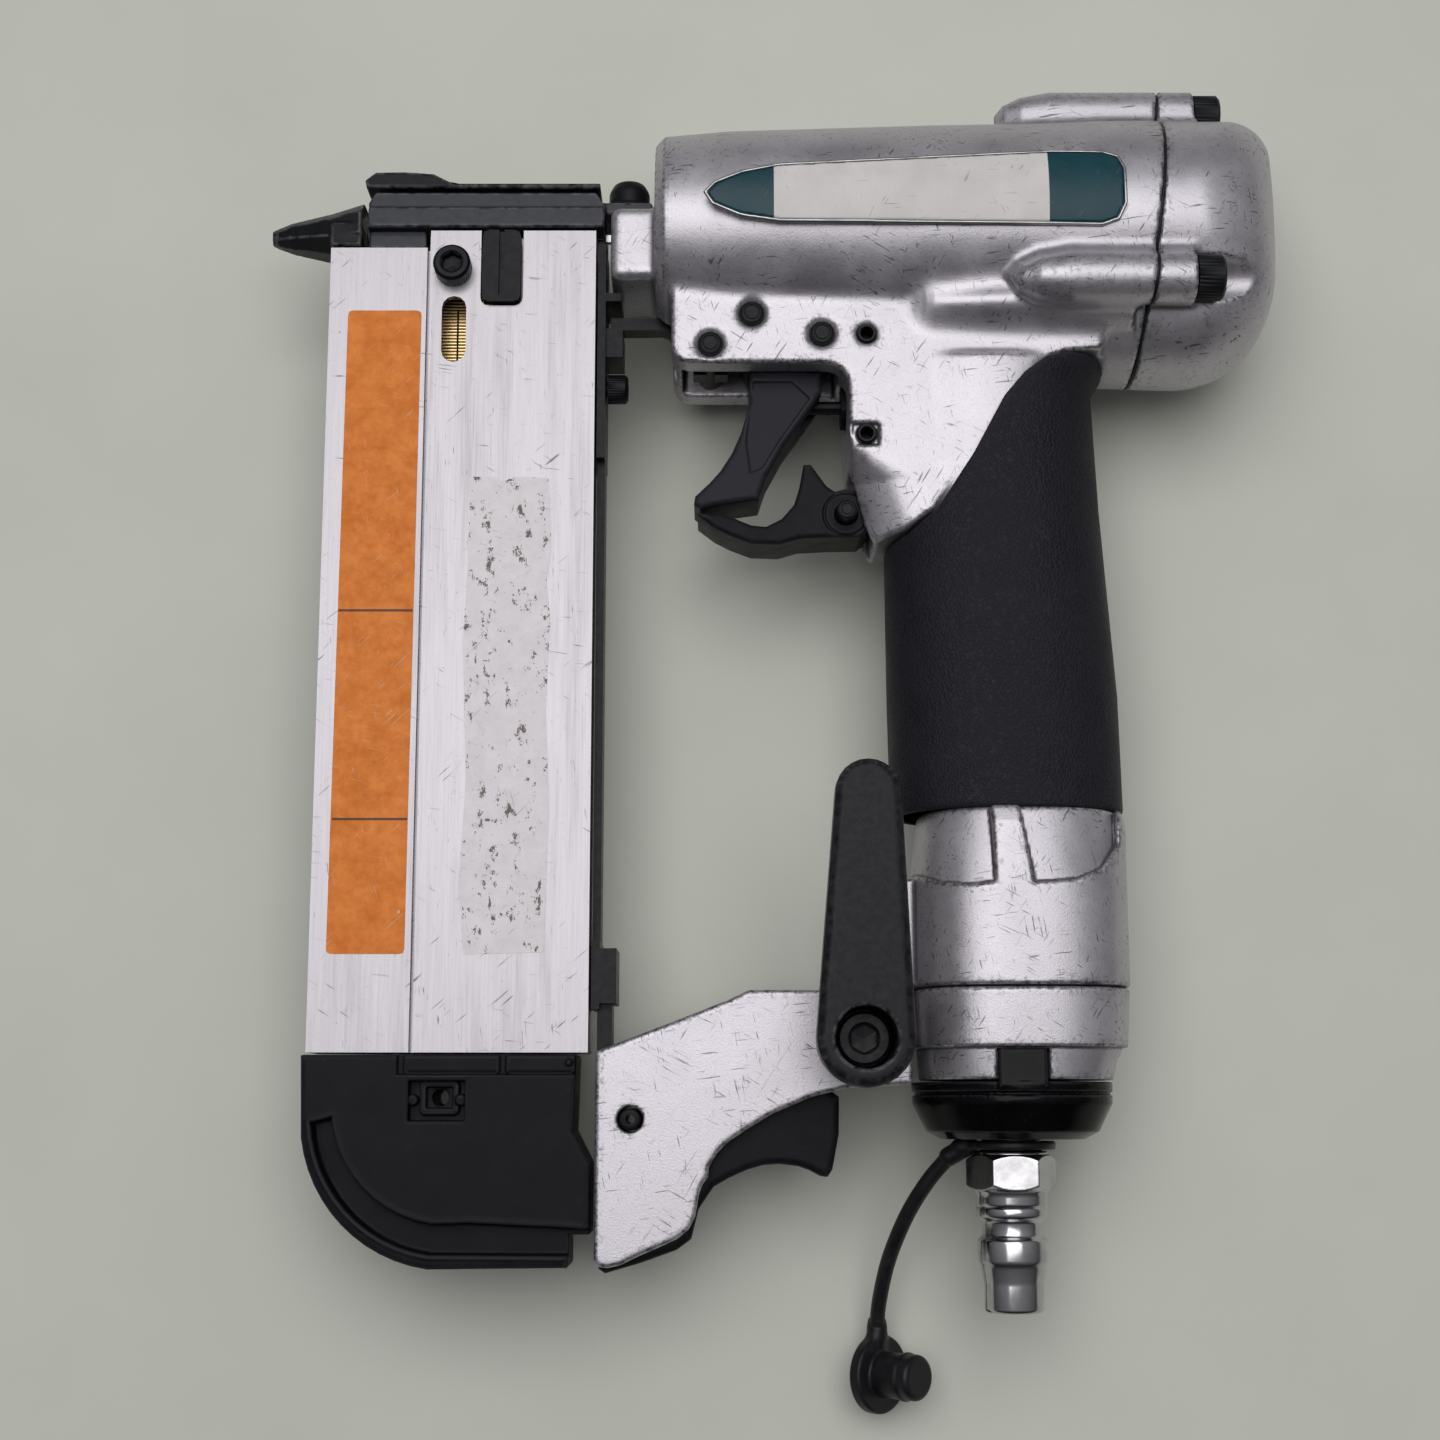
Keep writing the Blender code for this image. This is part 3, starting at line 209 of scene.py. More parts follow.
def surface_nets(values, low, step):
    """(points, quads) of the zero surface of a grid of values."""
    inside = values < 0
    corners = [(i, j, k) for i in (0, 1) for j in (0, 1) for k in (0, 1)]
    shape = [n - 1 for n in values.shape]
    count = np.zeros(shape, np.int8)
    for c in corners:
        count += inside[c[0] : c[0] + shape[0], c[1] : c[1] + shape[1], c[2] : c[2] + shape[2]]
    cells = np.stack(np.nonzero((count > 0) & (count < 8)), axis=1)
    held = {c: values[tuple((cells + c).T)].astype(float) for c in corners}
    total = np.zeros((len(cells), 3))
    crossings = np.zeros(len(cells))
    for a in corners:
        for axis in range(3):
            if a[axis]:
                continue
            b = tuple(1 if k == axis else a[k] for k in range(3))
            mixed = (held[a] < 0) != (held[b] < 0)
            gap = np.where(mixed, held[a] - held[b], 1.0)
            spot = np.array(a, float)[None, :].repeat(len(cells), 0)
            spot[:, axis] += held[a] / gap
            total += spot * mixed[:, None]
            crossings += mixed
    points = low + step * (cells + total / crossings[:, None])
    number = np.full(shape, -1, np.int32)
    number[tuple(cells.T)] = np.arange(len(cells))
    quads = []
    for axis in range(3):
        b, c = [k for k in range(3) if k != axis]
        first = [slice(1, -1)] * 3
        first[axis] = slice(0, -1)
        after = list(first)
        after[axis] = slice(1, None)
        here, there = inside[tuple(first)], inside[tuple(after)]
        for start, flip in ((here & ~there, False), (~here & there, True)):
            at = np.stack(np.nonzero(start), axis=1)
            at[:, b] += 1
            at[:, c] += 1
            ring = []
            for db, dc in ((0, 0), (-1, 0), (-1, -1), (0, -1)):
                cell = at.copy()
                cell[:, b] += db
                cell[:, c] += dc
                ring.append(number[tuple(cell.T)])
            ring = np.stack(ring, axis=1)
            quads.append(ring[:, ::-1] if flip != (axis == 1) else ring)
    return points, np.concatenate(quads)


def slopes(field, points, reach):
    """(value, gradient, bend) of a field at points, where bend is high on outer edges."""
    middle = field(tuple(points.T))
    gradient = np.zeros_like(points)
    bend = -6 * middle
    for axis in range(3):
        shift = np.zeros(3)
        shift[axis] = reach
        ahead = field(tuple((points + shift).T))
        behind = field(tuple((points - shift).T))
        gradient[:, axis] = (ahead - behind) / (2 * reach)
        bend += ahead + behind
    return middle, gradient, bend / reach**2


def put(name, mesh, look, body, node=None, smooth=True):
    """A finished mesh as a piece that rides on a body and may stand for a CAD node."""
    if smooth:
        mesh.shade_smooth()
    mesh.materials.append(LOOKS[look])
    thing = bpy.data.objects.new(name, mesh)
    bpy.context.scene.collection.objects.link(thing)
    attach(thing, body)
    if node:
        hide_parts(node)
    return thing


def carve(name, field, low, high, step, look, body, node):
    """A piece whose surface is where the field is zero, between two corners."""
    step = step * COARSE
    low = np.array(low, float) - 2.5 * step
    counts = np.ceil((np.array(high, float) - low) / step).astype(int) + 4
    axes = [low[k] + step * np.arange(counts[k]) for k in range(3)]
    points, quads = surface_nets(near_surface(field, axes, step), low, step)
    for _ in range(2):
        middle, gradient, _bend = slopes(field, points, 0.35 * step)
        size = np.maximum((gradient**2).sum(1), 0.3)
        points -= np.clip(middle / size, -step, step)[:, None] * gradient
    mesh = bpy.data.meshes.new(name)
    mesh.vertices.add(len(points))
    mesh.vertices.foreach_set("co", ((points + (0, 0, SIDE)) * MM).astype(np.float32).ravel())
    mesh.loops.add(quads.size)
    mesh.loops.foreach_set("vertex_index", quads.astype(np.int32).ravel())
    mesh.polygons.add(len(quads))
    mesh.polygons.foreach_set("loop_start", np.arange(0, quads.size, 4, dtype=np.int32))
    mesh.update(calc_edges=True)
    mesh.validate()
    fine = slopes(field, points, 0.5)[2]
    broad = slopes(field, points, 1.6)[2]
    dip = np.clip(-fine, 0, 2) / 2
    for layer, value in (("edge", np.clip(fine, 0, 2) / 2), ("dip", dip), ("ridge", np.clip(broad, 0, 1))):
        mesh.attributes.new(layer, "FLOAT", "POINT").data.foreach_set("value", value.astype(np.float32))
    return put(name, mesh, look, body, node)


def carve_rows(body, rows):
    """Pieces with the same reach to both sides, from (name, field, low, high, half z, step, look, node)."""
    for name, field, low, high, half, step, look, node in rows:
        carve(name, field, (*low, -half), (*high, half), step, look, body, node)


def mesh_of(name, bm):
    """A bmesh in the tool's millimetres as a mesh in the row frame."""
    bmesh.ops.recalc_face_normals(bm, faces=bm.faces)
    bmesh.ops.transform(bm, matrix=Matrix.Scale(MM, 4) @ Matrix.Translation((0, 0, SIDE)), verts=bm.verts)
    mesh = bpy.data.meshes.new(name)
    bm.to_mesh(mesh)
    bm.free()
    return mesh


def lathe(profile, axis, centre, steps=48, ring=False):
    """Profile points (along, radius) turned round an axis; ring closes the profile on itself."""
    bm = bmesh.new()
    rows = []
    for w, radius in profile:
        turns = [math.tau * k / steps for k in range(steps)]
        spots = [(w, centre[0] + radius * math.cos(a), centre[1] + radius * math.sin(a)) for a in turns]
        spots = spots if radius > 0 else spots[:1]
        rows.append([bm.verts.new(back_to_xyz(axis, *spot)) for spot in spots])
    pairs = list(zip(rows, rows[1:]))
    if ring:
        pairs.append((rows[-1], rows[0]))
    for a, b in pairs:
        for k in range(steps):
            n = (k + 1) % steps
            around = [a[k % len(a)], a[n % len(a)], b[n % len(b)], b[k % len(b)]]
            bm.faces.new(list(dict.fromkeys(around)))
    if not ring:
        for row in (rows[0], rows[-1]):
            if len(row) > 2:
                bm.faces.new(row)
    return bm


def bend(start, corner, end, steps):
    """Points along a curve from start to end that leaves and arrives in line with the corner."""
    points = []
    for k in range(steps + 1):
        t = k / steps
        spot = (1 - t) ** 2 * start + 2 * t * (1 - t) * corner + t * t * end
        points.append((spot.x, spot.y))
    return points


def softened(profile, radius, steps=3):
    """A profile whose inner corners are rounded, each limited by its shorter side."""
    out = [profile[0]]
    for before, here, after in zip(profile, profile[1:], profile[2:]):
        a, h, b = Vector(before), Vector(here), Vector(after)
        reach_a = min(radius, 0.45 * (a - h).length)
        reach_b = min(radius, 0.45 * (b - h).length)
        start = h + (a - h).normalized() * reach_a
        end = h + (b - h).normalized() * reach_b
        out += bend(start, h, end, steps)
    return out + [profile[-1]]


# ---------------------------------------------------------------- materials


class Shader:
    """A Principled material whose pattern nodes read the piece's own coordinates."""

    def __init__(self, name, roughness, metallic, **extra):
        self.material = bpy.data.materials.new(name)
        self.material.use_nodes = True
        self.tree = self.material.node_tree
        self.surface = self.tree.nodes["Principled BSDF"]
        self.surface.inputs["Roughness"].default_value = roughness
        self.surface.inputs["Metallic"].default_value = metallic
        for socket, value in extra.items():
            self.surface.inputs[socket.replace("_", " ")].default_value = value
        self.place = self.tree.nodes.new("ShaderNodeTexCoord").outputs["Object"]

    def join(self, value, socket):
        """Links a node's output to the socket, or sets a number or a colour on it."""
        if isinstance(value, bpy.types.NodeSocket):
            self.tree.links.new(value, socket)
        else:
            socket.default_value = value

    def node(self, kind, **inputs):
        """A new node, with its inputs joined by their names."""
        made = self.tree.nodes.new("ShaderNode" + kind)
        for socket, value in inputs.items():
            self.join(value, made.inputs[socket.replace("_", " ")])
        return made

    def stretched(self, x, y, z, turn=0.0):
        """The piece's coordinates, turned about Z and scaled; marks run long where the scale is low."""
        rotation = (0.0, 0.0, math.radians(turn))
        mapping = self.node("Mapping", Vector=self.place)
        mapping.vector_type = "TEXTURE"
        self.join((1 / x, 1 / y, 1 / z), mapping.inputs["Scale"])
        self.join(rotation, mapping.inputs["Rotation"])
        return mapping.outputs["Vector"]

    def noise(self, size, detail=3.0, roughness=0.6, place=None):
        """Noise with lumps of that size in millimetres."""
        node = self.node("TexNoise", Vector=place or self.place, Scale=1 / (size * MM))
        self.join(detail, node.inputs["Detail"])
        self.join(roughness, node.inputs["Roughness"])
        return node.outputs["Fac"]

    def cells(self, size):
        """Distance to the edges of cells of that size in millimetres."""
        node = self.node("TexVoronoi", Vector=self.place, Scale=1 / (size * MM))
        node.feature = "DISTANCE_TO_EDGE"
        return node.outputs["Distance"]

    def layer(self, name):
        """One of the values that carve keeps on each point: edge, dip or ridge."""
        node = self.node("Attribute")
        node.attribute_name = name
        return node.outputs["Fac"]

    def range(self, value, low, high, to_low=0.0, to_high=1.0):
        node = self.node("MapRange", Value=value, From_Min=low, From_Max=high, To_Min=to_low, To_Max=to_high)
        return node.outputs["Result"]

    def math(self, operation, a, b):
        node = self.node("Math")
        node.operation = operation
        self.join(a, node.inputs[0])
        self.join(b, node.inputs[1])
        return node.outputs["Value"]

    def mix(self, factor, a, b):
        node = self.node("Mix", Factor=factor)
        node.data_type = "RGBA"
        for value, socket in ((a, node.inputs["A"]), (b, node.inputs["B"])):
            self.join((*value, 1.0) if isinstance(value, tuple) else value, socket)
        return node.outputs["Result"]

    def colour(self, value):
        self.join(value, self.surface.inputs["Base Color"])

    def bump(self, height, depth, strength=1.0):
        """Adds relief of that depth in millimetres, on top of any added before."""
        node = self.node("Bump", Strength=strength, Distance=depth * MM, Height=height)
        linked = self.surface.inputs["Normal"].links
        if linked:
            self.join(linked[0].from_socket, node.inputs["Normal"])
        self.join(node.outputs["Normal"], self.surface.inputs["Normal"])

    def set(self, socket, value):
        self.join(value, self.surface.inputs[socket])

    def nicks(self, base, dark, strength, rarity, turns, long=0.07):
        """The colour with short straight scratches in each of the directions, in patches."""
        for k, turn in enumerate(turns):
            patches = self.range(self.noise(7.0 + 2.0 * k, 2.0), 0.46, 0.6)
            marks = self.noise(0.26 + 0.07 * k, 1.0, 0.5, self.stretched(1.0, long, 0.5, turn))
            marks = self.math("MULTIPLY", self.range(marks, rarity, rarity + 0.05), patches)
            base = self.mix(self.math("MULTIPLY", marks, strength), base, dark)
        return base


def silver_paint():
    """Satin silver paint on cast metal: fine sparkle, faint blotches, worn ridges, and painted shade that
    darkens the dips.
    """
    s = Shader("silver_paint", 0.38, 0.72)
    blotch = s.range(s.noise(9.0, 4.0), 0.35, 0.68)
    grain = s.range(s.noise(0.34, 2.0, 0.7), 0.36, 0.66)
    base = s.mix(blotch, (0.45, 0.43, 0.47), (0.58, 0.555, 0.60))
    base = s.mix(s.math("MULTIPLY", grain, 0.3), base, (0.68, 0.66, 0.70))
    rubs = s.range(s.noise(1.3, 5.0, 0.85), 0.52, 0.60)
    ridge = s.math("MULTIPLY", s.range(s.layer("ridge"), 0.13, 0.24), rubs)
    base = s.mix(s.math("MULTIPLY", ridge, 0.6), base, (0.17, 0.165, 0.175))
    chips = s.range(s.noise(1.2, 4.0, 0.75), 0.50, 0.58)
    worn = s.math("MULTIPLY", s.range(s.layer("edge"), 0.25, 0.5), chips)
    base = s.mix(s.math("MULTIPLY", worn, 0.8), base, (0.10, 0.098, 0.10))
    specks = s.range(s.noise(0.7, 3.0, 0.8), 0.66, 0.70)
    base = s.mix(s.math("MULTIPLY", specks, 0.6), base, (0.10, 0.095, 0.10))
    base = s.nicks(base, (0.09, 0.085, 0.09), 0.8, 0.67, (12.0, 61.0, 97.0, 148.0))
    # painted shade: the dips, the creases and recesses, are darkened towards near black
    dip_shade = s.range(s.layer("dip"), 0.12, 0.6)
    s.colour(s.mix(s.math("MULTIPLY", dip_shade, 0.7), base, (0.05, 0.05, 0.056)))
    s.set("Roughness", s.range(blotch, 0.0, 1.0, 0.34, 0.46))
    s.bump(grain, 0.02, 0.5)
    return s.material


def brushed_aluminium():
    """Aluminium brushed along Y, with scratches and a few dark rubs."""
    s = Shader("brushed_aluminium", 0.4, 1.0)
    fine = s.noise(0.5, 3.0, 0.7, s.stretched(1.6, 0.03, 1.6))
    broad = s.noise(5.0, 3.0, 0.6, s.stretched(1.0, 0.08, 1.0))
    base = s.mix(s.range(fine, 0.3, 0.7), (0.335, 0.32, 0.342), (0.425, 0.408, 0.435))
    base = s.mix(s.range(broad, 0.5, 0.75), base, (0.30, 0.288, 0.307))
    base = s.nicks(base, (0.08, 0.075, 0.08), 0.8, 0.715, (5.0, 58.0, 83.0, 131.0))
    specks = s.range(s.noise(0.8, 3.0, 0.8), 0.68, 0.72)
    base = s.mix(s.math("MULTIPLY", specks, 0.6), base, (0.10, 0.09, 0.085))
    s.colour(base)
    s.set("Roughness", s.range(fine, 0.3, 0.7, 0.32, 0.46))
    s.bump(fine, 0.015, 0.4)
    return s.material


def black_steel(name, dark, light, shine):
    """Blackened steel: faint mottling, and edges rubbed to grey."""
    s = Shader(name, 0.4, 0.05, Specular_IOR_Level=shine)
    mottle = s.range(s.noise(1.4, 4.0, 0.7), 0.35, 0.7)
    base = s.mix(mottle, dark, light)
    rubbed = s.math("MULTIPLY", s.range(s.layer("edge"), 0.2, 0.7), s.range(s.noise(2.2, 3.0), 0.4, 0.6))
    s.colour(s.mix(rubbed, base, (0.10, 0.10, 0.108)))
    s.set("Roughness", s.range(mottle, 0.0, 1.0, 0.34, 0.5))
    s.bump(s.noise(0.3, 2.0), 0.015, 0.4)
    return s.material


def moulded_plastic(name, dark, light, roughness):
    """Matt moulded plastic with a fine spark-eroded texture, and a painted highlight that lightens its outer
    edges.
    """
    s = Shader(name, roughness, 0.0, Specular_IOR_Level=0.11)
    cloud = s.range(s.noise(6.0, 4.0), 0.35, 0.7)
    base = s.mix(cloud, dark, light)
    base = s.nicks(base, (0.03, 0.03, 0.036), 0.4, 0.72, (20.0, 80.0, 140.0))
    # painted highlight: the outer edges are lightened towards grey
    edge = s.range(s.layer("edge"), 0.3, 0.9, 0.0, 0.35)
    s.colour(s.mix(edge, base, (0.06, 0.06, 0.068)))
    s.set("Roughness", s.range(cloud, 0.0, 1.0, roughness - 0.06, roughness + 0.08))
    s.bump(s.noise(0.25, 2.0), 0.02, 0.5)
    return s.material


def grip_rubber():
    """Soft black rubber with a fine leather grain, and a painted highlight on its outer edges."""
    s = Shader("grip_rubber", 0.6, 0.0, Specular_IOR_Level=0.2)
    grain = s.cells(0.75)
    cloud = s.range(s.noise(12.0, 3.0), 0.35, 0.7)
    base = s.mix(cloud, (0.0085, 0.009, 0.0145), (0.015, 0.0155, 0.023))
    base = s.mix(s.range(grain, 0.0, 0.12, 0.6, 0.0), base, (0.03, 0.03, 0.036))
    # painted highlight: the outer edges are lightened towards grey
    s.colour(s.mix(s.range(s.layer("edge"), 0.2, 0.8, 0.0, 0.4), base, (0.04, 0.04, 0.046)))
    s.set("Roughness", s.range(cloud, 0.0, 1.0, 0.5, 0.66))
    s.bump(s.range(grain, 0.0, 0.25), 0.10, 0.7)
    s.bump(s.noise(0.3, 2.0), 0.03, 0.4)
    return s.material


def seal_rubber():
    """Smooth satin rubber with light handling marks."""
    s = Shader("seal_rubber", 0.42, 0.0, Specular_IOR_Level=0.3)
    cloud = s.range(s.noise(3.0, 4.0), 0.35, 0.7)
    s.colour(s.mix(cloud, (0.008, 0.008, 0.010), (0.016, 0.016, 0.019)))
    s.set("Roughness", s.range(cloud, 0.0, 1.0, 0.34, 0.52))
    s.bump(s.noise(0.6, 3.0), 0.02, 0.4)
    return s.material


def bright_steel(name="bright_steel", roughness=0.14, tint=(0.52, 0.51, 0.53)):
    """Plated steel with smudges and fine marks."""
    s = Shader(name, roughness, 1.0)
    smudge = s.range(s.noise(4.0, 4.0), 0.4, 0.7)
    dark = tuple(0.78 * c for c in tint)
    s.colour(s.mix(smudge, tint, dark))
    s.set("Roughness", s.range(smudge, 0.0, 1.0, roughness, roughness + 0.14))
    s.bump(s.noise(0.5, 2.0), 0.006, 0.4)
    return s.material


def brass_pins():
    """A strip of thin brass-coloured wires, one above the other, with painted shade in the grooves between
    them.
    """
    s = Shader("brass", 0.3, 1.0)
    wave = s.node("TexWave", Vector=s.place, Scale=math.tau / 20 / (0.64 * MM), Distortion=0.0)
    wave.bands_direction = "Y"
    lines = s.range(wave.outputs["Fac"], 0.0, 0.7)
    # painted shade: the colour falls to dark brass in the grooves between the wires
    s.colour(s.mix(lines, (0.20, 0.13, 0.05), (0.78, 0.56, 0.27)))
    s.bump(lines, 0.1, 0.8)
    return s.material


def filter_mesh():
    """Woven wire drawn as a cell pattern: raised wires along the cell edges, and painted shade darkening the
    openings between them.
    """
    s = Shader("filter_mesh", 0.5, 0.7)
    weave = s.cells(0.8)
    # painted shade: the openings between the wires are darkened towards near black
    s.colour(s.mix(s.range(weave, 0.0, 0.2), (0.62, 0.63, 0.62), (0.08, 0.08, 0.08)))
    s.bump(s.range(weave, 0.0, 0.2, 1.0, 0.0), 0.1)
    return s.material


def printed_panel():
    """Pale plate with a grey-green end at each side, by place along X, and faint scuffs."""
    s = Shader("panel_white", 0.38, 0.0, Specular_IOR_Level=0.3)
    x = s.node("SeparateXYZ", Vector=s.place).outputs["X"]
    front = s.range(x, -0.05 * MM, 0.05 * MM, 1.0, 0.0)
    back = s.range(x, 50.25 * MM, 50.35 * MM)
    cloud = s.range(s.noise(7.0, 4.0), 0.35, 0.7)
    white = s.mix(cloud, (0.72, 0.69, 0.68), (0.82, 0.79, 0.78))
    teal = s.mix(cloud, (0.003, 0.045, 0.062), (0.006, 0.062, 0.082))
    base = s.mix(s.math("MAXIMUM", front, back), white, teal)
    s.colour(s.nicks(base, (0.12, 0.12, 0.12), 0.5, 0.71, (30.0, 90.0, 150.0)))
    s.set("Roughness", s.range(cloud, 0.0, 1.0, 0.32, 0.46))
    return s.material


def sticker(name, light, dark, torn, under):
    """Printed film: a plain colour, with small tears down to what lies under it."""
    s = Shader(name, 0.45, 0.0, Specular_IOR_Level=0.4)
    cloud = s.range(s.noise(3.0, 4.0, 0.7), 0.35, 0.7)
    base = s.mix(cloud, light, dark)
    patches = s.range(s.noise(2.2, 5.0, 0.8, s.stretched(1.0, 0.6, 1.0)), 0.66 - torn, 0.68 - torn)
    base = s.mix(patches, base, under)
    s.colour(s.nicks(base, under, 0.5, 0.71, (15.0, 75.0, 135.0)))
    s.set("Roughness", s.range(cloud, 0.0, 1.0, 0.4, 0.58))
    s.bump(patches, 0.05, 0.6)
    return s.material


def make_looks():
    """Every material, by the name of its look."""
    looks = {
        "silver_casting": silver_paint(),
        "brushed_aluminium": brushed_aluminium(),
        "grip_rubber": grip_rubber(),
        "seal_rubber": seal_rubber(),
        "bright_steel": bright_steel(),
        "dull_steel": bright_steel("dull_steel", 0.3, (0.42, 0.42, 0.43)),
        "brass": brass_pins(),
        "panel_white": printed_panel(),
        "filter_mesh": filter_mesh(),
    }
    rows = [
        (black_steel, "black_steel", (0.005, 0.0055, 0.008), (0.008, 0.009, 0.012), 0.2),
        (black_steel, "guide_steel", (0.016, 0.018, 0.028), (0.028, 0.031, 0.046), 0.4),
        (moulded_plastic, "black_plastic", (0.0045, 0.0047, 0.0075), (0.0085, 0.009, 0.013), 0.44),
        (moulded_plastic, "trigger_plastic", (0.019, 0.0175, 0.025), (0.030, 0.028, 0.037), 0.42),
        (moulded_plastic, "glossy_plastic", (0.002, 0.002, 0.0025), (0.004, 0.004, 0.005), 0.18),
        (sticker, "label_line", (0.10, 0.03, 0.01), (0.14, 0.05, 0.02), -0.1, (0.3, 0.1, 0.02)),
        (sticker, "orange_label", (0.92, 0.25, 0.003), (0.72, 0.175, 0.003), -0.015, (0.80, 0.60, 0.45)),
        (sticker, "worn_label", (0.95, 0.90, 0.94), (0.88, 0.83, 0.87), 0.07, (0.18, 0.145, 0.12)),
    ]
    for make, name, *tones in rows:
        looks[name] = make(name, *tones)
    return looks


LOOKS = make_looks()


# ---------------------------------------------------------------- stage and camera


def aim(thing, at):
    """Turns a camera or a lamp, already in place, towards a point."""
    thing.rotation_mode = "QUATERNION"
    direction = Vector(at) - thing.location
    thing.rotation_quaternion = direction.to_track_quat("-Z", "Y")


def make_camera():
    """Above the tool's left side, ten degrees off straight down, with its top away from the viewer."""
    lean = math.radians(10.0)
    distance = 409.8 * MM
    target = Vector((-9.85, -8.6, SIDE)) * MM
    data = bpy.data.cameras.new("camera")
    data.sensor_width = 36.0
    data.lens = 55.3
    camera = bpy.data.objects.new("camera", data)
    camera.location = target + distance * Vector((0, -math.sin(lean), math.cos(lean)))
    aim(camera, target)
    bpy.context.scene.collection.objects.link(camera)
    bpy.context.scene.camera = camera


def soft_light(name, at, size, power, colour=(1, 1, 1), target=(0, 0, 0)):
    data = bpy.data.lights.new(name, "AREA")
    data.shape = "RECTANGLE"
    data.size, data.size_y = size
    data.energy = power
    data.color = colour
    lamp = bpy.data.objects.new(name, data)
    lamp.location = at
    aim(lamp, target)
    bpy.context.scene.collection.objects.link(lamp)


def make_room():
    """A pale room: brightest overhead, and dark on the viewer's side."""
    world = bpy.data.worlds.new("room")
    world.use_nodes = True
    nodes, links = world.node_tree.nodes, world.node_tree.links
    place = nodes.new("ShaderNodeTexCoord")
    split = nodes.new("ShaderNodeSeparateXYZ")
    height = nodes.new("ShaderNodeMapRange")
    links.new(place.outputs["Generated"], split.inputs[0])
    links.new(split.outputs["Z"], height.inputs["Value"])
    for socket, number in (("From Min", 0.0), ("From Max", 1.0), ("To Min", 0.08), ("To Max", 0.42)):
        height.inputs[socket].default_value = number
    back = nodes.new("ShaderNodeMapRange")
    links.new(split.outputs["Y"], back.inputs["Value"])
    for socket, number in (("From Min", -0.75), ("From Max", 0.15), ("To Min", 0.12), ("To Max", 1.0)):
        back.inputs[socket].default_value = number
    product = nodes.new("ShaderNodeMath")
    product.operation = "MULTIPLY"
    links.new(height.outputs["Result"], product.inputs[0])
    links.new(back.outputs["Result"], product.inputs[1])
    background = nodes["Background"]
    background.inputs["Color"].default_value = (0.95, 0.96, 1.0, 1.0)
    links.new(product.outputs["Value"], background.inputs["Strength"])
    bpy.context.scene.world = world


def make_stage():
    s = Shader("table", 0.6, 0.0, Specular_IOR_Level=0.2)
    cloud = s.range(s.noise(60.0, 3.0), 0.3, 0.7)
    s.colour(s.mix(cloud, (0.70, 0.715, 0.64), (0.745, 0.76, 0.685)))
    s.bump(s.noise(0.8, 2.0), 0.02, 0.3)
    bpy.ops.mesh.primitive_plane_add(size=6.0)
    floor = bpy.context.object
    floor.name = "floor"
    floor.data.materials.append(s.material)
    make_room()
    soft_light("overhead", (-0.05, 0.22, 1.05), (0.95, 0.85), 5.9, (1.0, 0.985, 0.97))
    bpy.context.scene.view_settings.view_transform = "Standard"


make_camera()
make_stage()


# ---------------------------------------------------------------- strap and dust cap

STRAP_R = 1.4
STRAP_ROUTE = [
    (31.2, -88.0, -1.2),
    (27.6, -92.4, -3.4),
    (24.0, -98.6, -7.0),
    (21.0, -106.6, -11.6),
    (19.4, -114.6, -15.6),
    (19.0, -120.4, -17.6),
]
CAP_MID = (19.6, -127.6, -17.9)
CAP_LEAN = math.radians(46.0)
RING_LOW, RING_HIGH = -86.7, -85.2


def smooth_route(route, step):
    """Points about a step apart on a Catmull-Rom curve through the route."""
    knots = [np.array(p, float) for p in route]
    knots = [2 * knots[0] - knots[1], *knots, 2 * knots[-1] - knots[-2]]
    points = []
    for a, b, c, d in zip(knots, knots[1:], knots[2:], knots[3:]):
        count = max(1, round(float(np.linalg.norm(c - b)) / step))
        for k in range(count):
            t = k / count
            bent = (2 * a - 5 * b + 4 * c - d) * t**2 + (3 * b - a - 3 * c + d) * t**3
            points.append(0.5 * (2 * b + (c - a) * t + bent))
    points.append(knots[-2])
    return points


def in_row(point):
    """A point in the tool's millimetres as metres in the row frame."""
    return Vector((point[0], point[1], point[2] + SIDE)) * MM


